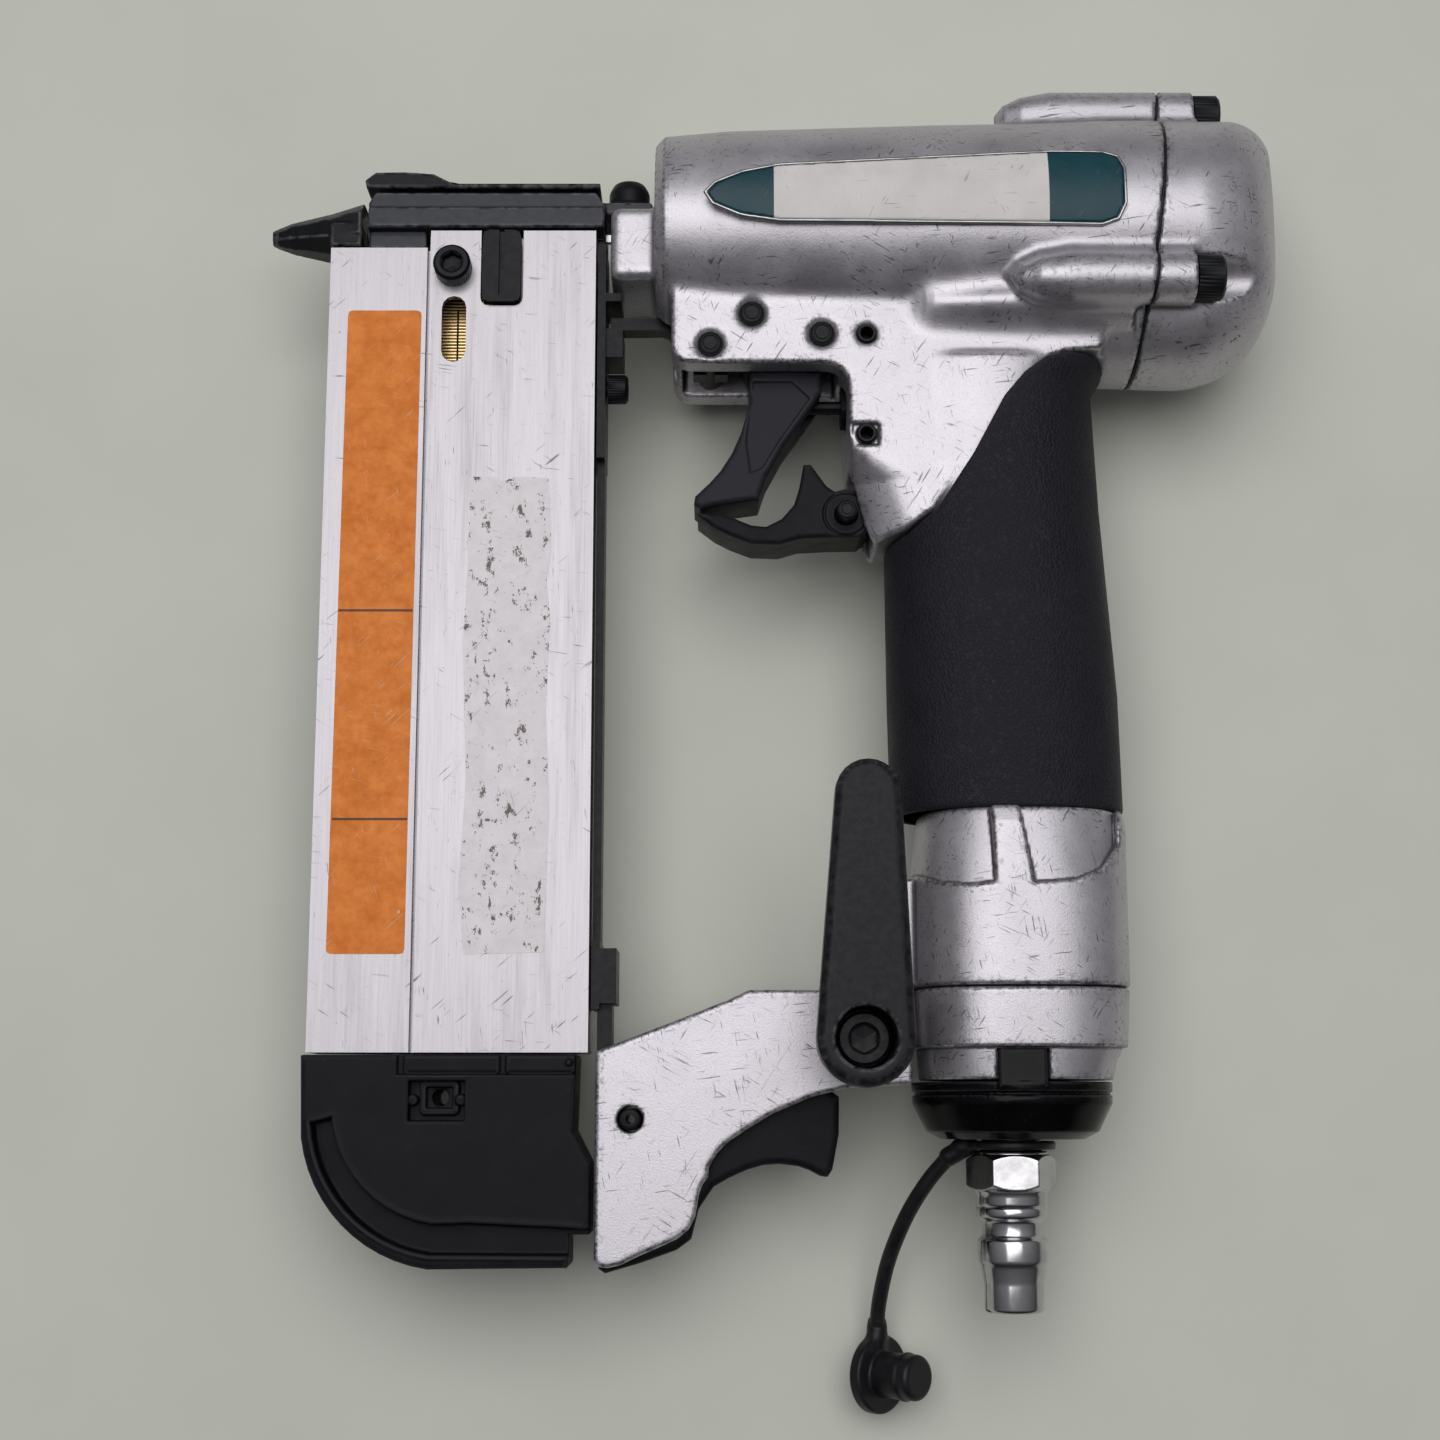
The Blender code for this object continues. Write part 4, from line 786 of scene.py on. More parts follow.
def dust_cap():
    """The strap as one round cord, the ring that holds it on the plug, and the cap at its end."""
    points = smooth_route(STRAP_ROUTE, 1.0)
    curve = bpy.data.curves.new("cap_strap", "CURVE")
    curve.dimensions = "3D"
    curve.bevel_depth = STRAP_R * MM
    curve.bevel_resolution = 6
    curve.use_fill_caps = True
    line = curve.splines.new("POLY")
    line.points.add(len(points) - 1)
    for spot, point in zip(line.points, points):
        spot.co = (*in_row(point), 1.0)
    curve.materials.append(LOOKS["seal_rubber"])
    strap = bpy.data.objects.new("strap", curve)
    bpy.context.scene.collection.objects.link(strap)
    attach(strap, "root")
    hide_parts("cap_strap")

    turn = Matrix.Rotation(-CAP_LEAN, 3, "Y")

    def cap_field(p):
        local = np.stack([c - m for c, m in zip(p, CAP_MID)])
        x, y, z = np.tensordot(np.array(turn), local, 1)
        q = (x, y, z)
        flange = rod(q, "z", (0, 0), 7.05, -1.6, 0.8, 0.5)
        rim = np.hypot(np.hypot(x, y) - 5.6, z + 1.5) - 0.45
        stem = rod(q, "z", (0, 0), 4.1, -0.6, 9.35, 1.0)
        ridge = np.hypot(np.hypot(x, y) - 4.0, z - 6.4) - 0.35
        body = joined(joined(flange, rim, 0.4), joined(stem, ridge, 0.5), 0.6)
        nearby = np.hypot(np.hypot(p[0] - 19.1, (p[1] + 119.8) * 0.5), p[2] + 17.6) - 1.9
        tongue = np.maximum(nearby, p[1] + 117.5)
        return joined(body, tongue, 1.2)

    low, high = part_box("dust_cap")
    low_mm = (low.x / MM - 1, low.y / MM - 1, low.z / MM - 1 - SIDE)
    high_mm = (high.x / MM + 1, high.y / MM + 5, high.z / MM + 1 - SIDE)
    cap = carve("dust_cap_moulding", cap_field, low_mm, high_mm, 0.28, "seal_rubber", "root", "dust_cap")

    def ring_field(p):
        band = np.abs(np.hypot(p[2], p[0] - PLUG_X) - 6.85) - 1.15
        ring = capped(band, np.abs(p[1] - (RING_LOW + RING_HIGH) / 2) - 0.75, 0.4)
        lug = rod(p, "y", (0, 33.4), 1.4, RING_LOW, RING_HIGH, 0.3)
        start, end = np.array((34.4, -86.1, 0.0)), np.array(STRAP_ROUTE[0])
        reach = end - start
        steps = sum((c - a) * r for c, a, r in zip(p, start, reach)) / (reach @ reach)
        spot = [c - a - np.clip(steps, 0, 1) * r for c, a, r in zip(p, start, reach)]
        neck = np.sqrt(sum(c * c for c in spot)) - 1.75
        return joined(joined(ring, lug, 1.2), neck, 1.0)

    corners = ((29, -90.5, -8.4), (50.5, -84.5, 8.4))
    ring = carve("tether_ring_moulding", ring_field, *corners, 0.3, "seal_rubber", "root", "tether_ring")


dust_cap()


# ---------------------------------------------------------------- body casting and head

BARREL_R = 21.6
PARTING_X = 71.3
PARTING_LEAN = math.radians(6.7)
BOLT_CIRCLE = 25.0
BOLT_ANGLES = {"top": 90.0, "left": -38.0, "right": 218.0}
BOSS_R = 4.8
HOUSING_HALF = 13.0
HOUSING_FRONT_X = -18.9
HOUSING_LOW_Y = 56.2
HANDLE_FRONT_X = 13.9
SLOT_HALF = 7.2
SLOT_TOP_Y = 69.5
VALVE_Y = 51.5
PINS = {
    "trigger_pin": (-3.95, 65.7, 2.3),
    "lockout_pin": (-11.65, 59.8, 2.3),
    "guard_pin": (9.05, 61.8, 2.3),
}
ROLL_PINS = {"roll_pin_upper": (17.3, 61.8), "roll_pin_lower": (17.1, 42.6)}
LOCK_AXIS = (13.55, 29.1)
LATCH_AXIS = (-25.7, -81.4)
HEAD_HIGH = 5.3  # the height of a head bolt's head
BORE_R = 17.6  # round the cylinder


def bolt_spot(key):
    """(y, z) of a head bolt's axis."""
    a = math.radians(BOLT_ANGLES[key])
    return DRIVE_Y + BOLT_CIRCLE * math.sin(a), BOLT_CIRCLE * math.cos(a)


def seat_x(key):
    """Where the bolt's head starts, taken from the bolt itself."""
    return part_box("cap_bolt_" + key)[1].x / MM - HEAD_HIGH


def past_parting(p, offset):
    """Positive ahead of the parting plane between body and cap, moved back by offset."""
    x, y, _ = p
    lean = (x - PARTING_X) * math.cos(PARTING_LEAN) - (y - DRIVE_Y) * math.sin(PARTING_LEAN)
    return lean - offset


def head_egg(p, grow=0.0):
    """The egg-shaped flange, which swells out of the barrel and the neck towards the cap."""
    x, y, z = p
    stations = [46, 62, 84]
    top = np.interp(x, stations, [DRIVE_Y + 20.6, DRIVE_Y + 22.0, DRIVE_Y + 22.0])
    low = np.interp(x, stations, [61.5, 56.2, 55.6])
    low_r = np.interp(x, stations, [11.0, 15.0, 17.0])
    top_r = np.interp(x, stations, [20.8, BARREL_R + 0.2, BARREL_R + 0.2])
    return egg(y, z, top + grow, top_r + grow, low - grow, low_r + grow)


def boss(p, key, end):
    """The ridge over a head bolt: a bar that reaches down into the barrel, with a blunt pointed front."""
    x, y, z = p
    high, side = bolt_spot(key)
    inward = 0.84  # the inner end of the bar's section, as a share of the bolt circle
    low_y, low_z = DRIVE_Y + (high - DRIVE_Y) * inward, side * inward
    ey, ez = low_y - high, low_z - side
    t = np.clip(((y - high) * ey + (z - side) * ez) / (ey * ey + ez * ez), 0, 1)
    around = np.hypot(y - high - t * ey, z - side - t * ez)
    profile = [(43.6, 0), (45.2, 2.0), (48.4, 3.5), (54.0, BOSS_R - 0.3), (end, BOSS_R - 0.3), (end, 0)]
    return flat_distance(x, around, profile) - 0.3


GRIP_EDGE = [(18.6, 22.6), (24.5, 24.4), (29.8, 28.2), (36.4, 38.2), (42.2, 49.0), (46.0, 53.6)]
GRIP_EDGE += [(50.2, 56.8), (55.0, 58.2), (64.0, 58.8)]  # the rubber's edge, in side view


def neck_outline():
    """Side view of the trigger housing and the neck down to the edge of the grip."""
    points = arc(HOUSING_FRONT_X + 3.6, HOUSING_LOW_Y + 3.6, 3.6, 180, 270, 6)
    points += [(HANDLE_FRONT_X - 4.5, HOUSING_LOW_Y)]
    points += arc(HANDLE_FRONT_X - 4.5, HOUSING_LOW_Y - 4.5, 4.5, 75, 0, 5)
    points += [(HANDLE_FRONT_X, 31.5), (15.4, 26.6)] + [(x - 0.3, y + 0.3) for x, y in GRIP_EDGE[:-1]]
    return [(HOUSING_FRONT_X, 78)] + points + [(61, 58.9), (61, 78)]


def upper_casting(p):
    """Barrel, trigger housing and neck in one casting."""
    x, y, z = p
    front = HOUSING_FRONT_X - 3.1
    barrel_profile = [(front + 1, 0), (front + 1, 17.0), (front + 2.2, 18.2), (-8, 19.2), (30, 20.3)]
    barrel_profile += [(66, BARREL_R - 0.7), (84, BARREL_R - 0.7), (84, 0)]
    barrel = turned(p, barrel_profile, "x", (DRIVE_Y, 0), 1.0)
    housing = plate(p, neck_outline(), -HOUSING_HALF, HOUSING_HALF, 0.9)
    tapering = [(120, 41, 150, 90, 4), (HOUSING_LOW_Y - 1, 41, 150, 90, 4), (52, 41, 40, 20, 4)]
    tapering += [(42, 41, 30, 17, 4), (34, 41, 27.9, 14.8, 2.6), (18, 41, 24.6, 13.8, 2.3)]
    housing = within(housing, oval_loft(p, tapering, 0.1), 1.2)
    nose_boss = block(p, (-30.4, -15.0), (73.4, 87.6), (-11.0, 11.0), 1.8)
    rounded_end = [(24.0, 0)] + arc(30.2, 0, 5.6, 165, 95, 5) + [(40, 6.1), (66, 6.7), (66, 0)]
    swelling = turned((x, y, z / 2.6), rounded_end, "x", (67.4, 0), 0.4)
    neck_rows = [(58, 40.0, 17.3, 14.0, 2.6), (30, 41.0, 17.6, 13.7, 2.4), (4, 41.6, 17.8, 13.7, 2.4)]
    neck = oval_loft(p, neck_rows)
    flange = capped(head_egg(p), np.abs(x - 65) - 19, 1.5)
    shape = joined(barrel, housing, 1.4)
    shape = joined(shape, swelling, 2.6)
    shape = joined(shape, flange, 0.8)
    shape = joined(shape, neck, 1.0)
    shape = joined(shape, nose_boss, 1.2)
    for key in BOLT_ANGLES:
        shape = joined(shape, boss(p, key, 84.0), 1.8)
    shape = without(shape, -past_parting(p, -0.28), 0.2)
    return without(shape, upper_hollows(p), 0.5)


def upper_hollows(p):
    """The bore, the trigger's slot, the air ways, and the chamfers round the pins."""
    x, y, z = p
    hollow = rod(p, "x", (DRIVE_Y, 0), 14.8, -14.0, 90, 0.3)
    hollow = joined(hollow, rod(p, "x", (DRIVE_Y, 0), BORE_R, 14.5, 90, 0.3))
    hollow = joined(hollow, rod(p, "x", (DRIVE_Y, 0), 1.6, -40, 0, 0.2))
    hollow = joined(hollow, block(p, (-17.0, 12.2), (25, SLOT_TOP_Y), (-SLOT_HALF, SLOT_HALF), 0.5))
    hollow = joined(hollow, rod(p, "x", (VALVE_Y, 0), 4.6, 5, 36, 0.2))
    air_way = [(75, 42.3, 11, 9, 2.2), (-30, 42.3, 13.5, 10, 2.2)]
    hollow = joined(hollow, oval_loft(p, air_way))
    hollow = joined(hollow, block(p, (HOUSING_FRONT_X - 4, -15.0), (58.0, SLOT_TOP_Y), (-4.2, 4.2), 0.3))
    hollow = joined(hollow, block(p, (4.0, 18.6), (16.0, 36.5), (-7.0, 7.0), 0.4))
    for cx, cy, radius in PINS.values():
        cone = np.hypot(x - cx, y - cy) - radius - 0.7 - (np.abs(z) - HOUSING_HALF)
        hollow = joined(hollow, np.maximum(cone, HOUSING_HALF - 0.8 - np.abs(z)))
    for cx, cy in ROLL_PINS.values():
        hollow = joined(hollow, rod(p, "z", (cx, cy), 1.6, -20, 20, 0.1))
        cone = np.hypot(x - cx, y - cy) - 2.3 - (np.abs(z) - HOUSING_HALF)
        hollow = joined(hollow, np.maximum(cone, HOUSING_HALF - 0.6 - np.abs(z)))
    notch = block(p, (14.4, 19.4), (40.4, 44.6), (12.2, 16.0), 0.2)
    return joined(hollow, notch)


def head_cap_field(p):
    """The closed end: egg-shaped, with a wide round edge to a domed back."""
    x, y, z = p
    low = np.maximum(76.0 - y, 0)
    across, along_y, below = 0.0190, 0.0025, 0.020  # how fast the back curves away, each way
    dome = across * z**2 + along_y * (y - 86.0) ** 2 + below * low**2
    slope = np.hypot(2 * across * z, 2 * along_y * (y - 86.0) - 2 * below * low)
    back = (x - BACK_X + dome) / np.sqrt(1 + slope**2)
    shape = capped(head_egg(p), np.maximum(back, 50 - x), 7.0)
    for key in BOLT_ANGLES:
        shape = joined(shape, boss(p, key, seat_x(key)), 1.8)
        cy, cz = bolt_spot(key)
        shape = without(shape, rod(p, "x", (cy, cz), 4.9, seat_x(key), 110, 0.3), 0.4)
    shape = without(shape, rod(p, "x", (DRIVE_Y, 0), BORE_R, 50, 84, 0.3))
    shape = without(shape, rod(p, "x", (DRIVE_Y, 0), 8.0, 50, 90, 0.3))
    return without(shape, past_parting(p, 0.28), 0.2)


def gasket_field(p):
    """A thin sheet on the parting plane, round the flange and the bolts."""
    _, y, z = p
    flange = head_egg(p, -0.12)
    for key in BOLT_ANGLES:
        cy, cz = bolt_spot(key)
        flange = joined(flange, np.hypot(y - cy, z - cz) - BOSS_R + 0.5, 1.0)
    sheet = np.abs(past_parting(p, 0.0)) - 0.24
    bore = BORE_R - np.hypot(y - DRIVE_Y, z)
    return np.maximum(np.maximum(flange, sheet), bore)


KNURLS = 72


def bolt_head(name, spot, seat, radius, high, key_radius, axis="x", node="", shank=3.0, shank_r=2.1):
    """A socket head screw: knurled side, rounded rim and a six-sided socket."""
    profile = [(seat - shank, 0), (seat - shank, shank_r), (seat, shank_r), (seat, radius)]
    profile += [(seat + (high - 0.5), radius), (seat + high, radius - 0.5)]
    profile += [(seat + high, key_radius + 0.35), (seat + (high - 0.3), key_radius)]
    profile += [(seat + high * 0.45, key_radius), (seat + high * 0.38, 0)]
    bm = lathe(profile, axis, spot, KNURLS)
    knurl(bm, axis, spot, radius, seat, seat + (high - 0.6), key_radius)
    put(name, mesh_of(name, bm), "black_steel", "root", node, smooth=False)


def knurl(bm, axis, centre, radius, low, high, key_radius):
    """Pulls every other corner of a head's side in, and the socket's corners onto a hexagon."""
    for vert in bm.verts:
        w, u, v = along(vert.co, axis)
        du, dv = u - centre[0], v - centre[1]
        r = math.hypot(du, dv)
        if r < 0.01:
            continue
        angle = math.atan2(dv, du)
        scale = 1.0
        if abs(r - radius) < 0.05 and low - 0.05 <= w <= high + 0.05:
            scale = 1 - 0.035 * (round(angle / math.tau * KNURLS) % 2)
        elif r <= key_radius + 0.05 and r > 0.3:
            sector = (angle + math.pi / 6) % (math.pi / 3) - math.pi / 6
            scale = 0.9 / math.cos(sector)
        vert.co = back_to_xyz(axis, w, centre[0] + du * scale, centre[1] + dv * scale)


def head_group():
    """The casting, the cap, the gasket between them, and the cap's three bolts."""
    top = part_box("body_housing")[1].y / MM + 0.5
    half = SIDE + 0.5
    rows = [
        ("upper_casting", upper_casting, (-31, 4), (78, top), half, 0.56, "silver_casting", "body_housing"),
        ("head_cap_casting", head_cap_field, (62, 54), (97, top), half, 0.5, "silver_casting", "head_cap"),
        ("gasket", gasket_field, (64, 54), (77, top), half, 0.3, "seal_rubber", "head_gasket"),
    ]
    carve_rows("root", rows)
    for key in BOLT_ANGLES:
        bolt_head("screw_" + key, bolt_spot(key), seat_x(key) + 0.3, 4.2, 5.0, 2.3, node="cap_bolt_" + key)


def panel(name, side, node):
    """A curved plate let into the barrel, pointed at the front, inside a thin metal rim."""
    outline = [(51.0, 79.3), (60.0, 79.1), (63.2, 80.2), (64.6, 83.2), (64.6, 90.4)]
    outline += [(63.4, 93.2), (60.4, 94.3)]
    outline += [(51.0, 94.4), (1.0, 91.4), (-6.0, 89.8), (-11.0, 87.6), (-13.0, 85.4), (-11.4, 83.0)]
    outline += [(-6.2, 80.8), (1.0, 79.8)]

    def plate_skin(p):
        x, y, z = p
        skin = np.abs(np.hypot(y - DRIVE_Y, z) - (BARREL_R + 0.7)) - 0.35
        return np.maximum(np.maximum(flat_distance(x, y, outline) + 0.7, skin), -side * z)

    def rim(p):
        x, y, z = p
        skin = np.abs(np.hypot(y - DRIVE_Y, z) - (BARREL_R + 0.8)) - 0.4
        line = np.abs(flat_distance(x, y, outline) + 0.35) - 0.3
        return np.maximum(capped(line, skin, 0.2), -side * z)

    low_z, high_z = (8, 24) if side > 0 else (-24, -8)
    reach = ((-14.5, 78, low_z), (66, 96.5, high_z))
    carve(name, plate_skin, *reach, 0.34, "panel_white", "root", node)
    carve(name + "_rim", rim, *reach, 0.26, "dull_steel", "root", node)


head_group()
panel("name_plate_left", 1, "side_panel_left")
panel("name_plate_right", -1, "side_panel_right")


# ---------------------------------------------------------------- handle

GRIP_LOW_Y = -27.2
BASE_MID_X = 44.1
BASE_HALF_X = 19.5
BASE_HALF_Z = 19.4
SEAM_Y = -58.3
END_CAP_LOW_Y = -74.5
HOOK_SPOT = (14.6, -67.8)


def lower_casting(p):
    """The foot of the handle, with a scooped step under the grip and a rib down its middle."""
    x, y, _ = p
    rows = [
        (GRIP_LOW_Y + 0.3, 43.8, 19.3, 18.6, 2.8),
        (-30.0, BASE_MID_X, BASE_HALF_X, BASE_HALF_Z, 3.0),
        (SEAM_Y, BASE_MID_X, BASE_HALF_X, BASE_HALF_Z, 3.0),
    ]
    shape = oval_loft(p, rows, 0.6)
    slim_rows = [(-20, 44.5, 17.3, 15.0, 2.5), (-41.0, 44.1, 19.4, 18.9, 2.9), (-50, 44.1, 22, 22, 3)]
    slim = oval_loft(p, slim_rows)
    left = [(14, -20), (37.5, -20), (38.2, -40.4), (34.0, -40.9), (28.8, -40.2), (23.8, -37.6)]
    left += [(20.5, -33.6), (14, -31)]
    right = [(41.7, -20), (45.0, -40.6), (52.4, -40.0), (57.0, -38.0), (60.4, -33.6), (61.4, -20)]
    for outline in (left, right):
        pocket = np.maximum(flat_distance(x, y, outline), -slim)
        shape = without(shape, pocket, 0.7)
    arm_boss = block(p, (20.5, 34), (-58.0, -39.0), (-8.2, 8.2), 0.5)
    shape = joined(shape, arm_boss, 0.6)
    inner = [(0, 42.3, 13.5, 10.0, 2.2), (-70, 42.3, 14.4, 13.2, 2.2)]
    return without(shape, oval_loft(p, inner), 0.2)


def end_cap_field(p):
    """The handle's end cap: four-sided with soft corners, notches at its low edge and a lug slot."""
    y = p[1]
    rows = [
        (SEAM_Y - 0.3, BASE_MID_X, BASE_HALF_X - 0.1, BASE_HALF_Z - 0.1, 3.0),
        (-68.5, BASE_MID_X - 0.2, BASE_HALF_X - 0.5, BASE_HALF_Z - 0.3, 3.0),
        (END_CAP_LOW_Y, BASE_MID_X - 0.9, BASE_HALF_X - 1.6, BASE_HALF_Z - 1.0, 2.8),
    ]
    shape = oval_loft(p, rows, 0.7)
    inset = [(row[1], row[2] - 0.9, row[3] - 0.9, row[4]) for row in rows]
    stations = (-50, -68.5, END_CAP_LOW_Y, -90)
    inner = oval_loft(p, [(y_at, *row) for y_at, row in zip(stations, [*inset, inset[2]])])
    shape = without(shape, np.maximum(y + 68.9, -inner), 0.3)
    for side in (1, -1):
        notch = block(p, (37.9, 47.1), (-90, -69.2), tuple(sorted((side * 15.2, side * 40))), 0.3)
        shape = without(shape, notch, 0.3)
    shape = without(shape, block(p, (60.2, 80), (-90, -70.6), (-40, 40), 0.3), 0.3)
    shape = without(shape, rod(p, "y", (0, PLUG_X), 15.0, -71.0, -50, 0.2))
    return without(shape, rod(p, "y", (0, PLUG_X), 8.6, -90, -60, 0.2))


GRIP_ROWS = [
    (64.0, 41.5, 20.8, 16.3, 2.5),
    (56.5, 41.6, 20.9, 16.3, 2.5),
    (54.6, 41.0, 20.2, 16.4, 2.5),
    (53.0, 40.4, 19.6, 16.4, 2.5),
    (30.0, 41.0, 20.1, 16.5, 2.3),
    (-5.0, 42.3, 21.2, 16.5, 2.3),
    (GRIP_LOW_Y + 0.3, 42.7, 21.2, 16.5, 2.3),
]


def grip_field(p):
    """Rubber sleeve, cut along the neck, with a rounded lip on every edge."""
    x, y, _ = p
    outer = oval_loft(p, GRIP_ROWS, 0.9)
    core_rows = [(80, 39.2, 17.6, 14.4, 2.6), (30, 41.0, 17.9, 14.1, 2.4), (-40, 42.6, 18.9, 14.2, 2.4)]
    core = oval_loft(p, core_rows)
    cut = [(5, 20)] + GRIP_EDGE + [(80, 58.8), (80, 90), (5, 90)]
    shape = without(outer, flat_distance(x, y, cut), 0.9)
    neck = plate(p, neck_outline(), -HOUSING_HALF - 0.3, HOUSING_HALF + 0.3, 0.9)
    for hollow in (core, neck, head_egg(p, 0.3)):
        shape = without(shape, hollow)
    return shape


def deflector_field(p):
    """Exhaust ring: a short skirt, a wide dish under it and small ribs inside its edge."""
    x, y, z = p
    around = np.hypot(z, x - 42.6)
    profile = [(-75.2, 9.4), (-75.2, 17.6), (-78.5, 17.5), (-83.2, 15.2), (-84.5, 12.8), (-84.5, 6.6)]
    profile += [(-82.3, 6.6), (-82.3, 9.4)]
    shape = turned(p, profile, "y", (0, 42.6), 0.35)
    groove = np.maximum(np.abs(y + 76.9) - 0.3, 17.4 - around)
    shape = without(shape, groove, 0.2)
    lug = block(p, (38.3, 46.7), (-76.0, -69.0), (15.5, 17.7), 0.4)
    return joined(shape, lug, 0.4)


def air_plug():
    """Plated plug: washer, hexagon with arched corners, ringed neck and open end."""
    bore = 3.6
    profile = [(-66.0, bore), (-66.0, 5.4), (-86.9, 5.4), (-86.95, 6.5), (-87.5, 6.7), (-94.0, 6.7)]
    profile += [(-94.7, 6.4), (-96.4, 6.4), (-96.7, 6.1), (-97.0, 6.4), (-98.4, 6.4)]
    profile += [(-99.3, 5.35), (-101.7, 5.35), (-102.5, 6.3), (-106.2, 6.3), (-107.0, 5.9), (-109.9, 5.35)]
    profile += [(PLUG_END_Y + 0.5, 5.35), (PLUG_END_Y + 0.05, 4.8)]
    profile += [(PLUG_END_Y + 0.05, 4.0), (PLUG_END_Y + 0.6, bore)]
    bm = lathe(softened(profile, 0.35, 2), "y", (0, PLUG_X), 64, ring=True)
    body = put("air_plug_body", mesh_of("air_plug_body", bm), "bright_steel", "root", "air_plug")
    body.data.set_sharp_from_angle(angle=math.radians(40))
    across = 7.0

    def hexagon(p):
        x, y, z = p
        u, v = np.abs(x - PLUG_X), np.abs(z)
        flats = np.maximum(v, u * math.sin(math.pi / 3) + v * 0.5) - across
        round_off = np.hypot(u, v) + 1.15 * (np.maximum(np.abs(y + 90.75) - 2.0, 0)) ** 1.3 - 8.2
        shape = np.maximum(np.maximum(flats, round_off), np.abs(y + 90.75) - 3.5)
        return np.maximum(shape, 5.5 - np.hypot(u, v))

    row = ("air_plug_hexagon", hexagon, (33.5, -94.5), (51, -87), 7.2, 0.2, "bright_steel", "air_plug")
    carve_rows("root", [row])


def handle_group():
    """The handle's foot and end cap, its rubber, the exhaust ring and the plug."""
    silver, glossy = "silver_casting", "glossy_plastic"
    rows = [
        ("lower_casting", lower_casting, (20, SEAM_Y - 0.5), (65, -25), 20, 0.45, silver, "body_housing"),
        ("end_cap_casting", end_cap_field, (24, -75), (65, -58), 20, 0.42, silver, "handle_end_cap"),
        ("grip_sleeve", grip_field, (20, -26), (64, 60), 17, 0.5, "grip_rubber", "rubber_grip"),
        ("deflector", deflector_field, (24, -85.2), (61, -68), 18.3, 0.4, glossy, "exhaust_deflector"),
    ]
    carve_rows("root", rows)
    air_plug()


handle_group()


# ---------------------------------------------------------------- nose and magazine

MAG_HALF = 7.0
MAG_TOP_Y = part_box("magazine_cover")[1].y / MM
MAG_LOW_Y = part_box("magazine_cover")[0].y / MM
MAG_LEFT_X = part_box("magazine_slide")[0].x / MM
SEAM_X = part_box("magazine_cover")[0].x / MM - 0.3
TIP_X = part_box("nose_tip")[0].x / MM


def nose_field(p):
    """Nose tip: a flattened cone with a pin hole, faceted flanks and a foot over the magazine."""
    x, y, z = p
    stations = [TIP_X, TIP_X + 1.2, -92.0, -84.0, -77.6]
    mid = np.interp(x, stations, [85.4, 85.4, 85.4, 85.4, 86.2])
    half_y = np.interp(x, stations, [1.2, 1.7, 2.6, 4.1, 5.2])
    half_z = np.interp(x, stations, [1.0, 1.7, 3.4, 6.2, 7.4])
    u, v = np.abs(y - mid), np.abs(z)
    slanted = (u * half_z + v * half_y - 1.42 * half_y * half_z) / np.hypot(half_y, half_z)
    section = np.maximum(np.maximum(u - half_y, v - half_z), slanted)
    shape = capped(section, np.abs(x - (TIP_X - 77.8) / 2) - (-77.8 - TIP_X) / 2, 0.5)
    foot = block(p, (-83.6, -77.8), (81.3, 86), (-7.0, 7.0), 0.5)
    shape = joined(shape, foot, 0.6)
    shape = without(shape, rod(p, "x", (DRIVE_Y, 0), 1.2, -110, -60, 0.1))
    shape = without(shape, block(p, (MAG_LEFT_X - 0.3, -60), (60, 81.1), (-9, 9), 0.1))
    return without(shape, block(p, (MAG_LEFT_X - 0.3, -60), (60, DRIVE_Y), (-1.0, 1.0), 0.1))


def guide_field(p):
    """Driver guide: a long black bar with a chamfered shoulder and the pin slot under it."""
    _, y, z = p
    outline = [(-76.5, 84.7), (-31.7, 84.7), (-31.7, 89.2), (-33.4, 91.9), (-75.2, 91.9), (-76.5, 89.8)]
    shape = plate(p, outline, -7.9, 7.9, 0.6)
    shape = without(shape, np.maximum(88.7 - y, 7.15 - np.abs(z)), 0.3)
    shape = joined(shape, block(p, (-76.5, SEAM_X - 0.8), (81.4, MAG_TOP_Y + 2), (-5.5, 5.5), 0.3), 0.2)
    shape = joined(shape, block(p, (-33.0, -22.7), (88.1, 90.5), (-5.9, 5.9), 0.6), 0.4)
    shape = without(shape, rod(p, "y", (0, -27.3), 2.3, 80, 96, 0.1))
    return without(shape, block(p, (-90, -20), (80, DRIVE_Y + 1.3), (-1.3, 1.3), 0.1))


def guide_plate_field(p):
    """The hump over the front of the guide, running back as a thin strip."""
    outline = [(-77.0, 92.8), (-77.3, 94.3), (-75.3, 95.9), (-70, 96.0), (-64.3, 95.6)]
    outline += [(-61.4, 94.1), (-59.4, 93.7), (-32.6, 93.7), (-32.6, 92.6)]
    return plate(p, outline, -7.5, 7.5, 0.45)


def end_cap_outer():
    left = MAG_LEFT_X - 0.7
    outline = [(-35.3, MAG_LOW_Y - 0.4), (left, MAG_LOW_Y - 0.4)]
    outline += arc(left + 26.8, -80.8, 26.6, 188, 262, 12)
    return outline + [(-36.4, -106.9), (-36.4, -101.4), (-32.8, -101.4), (-32.8, -89.0), (-35.7, -83.4)]


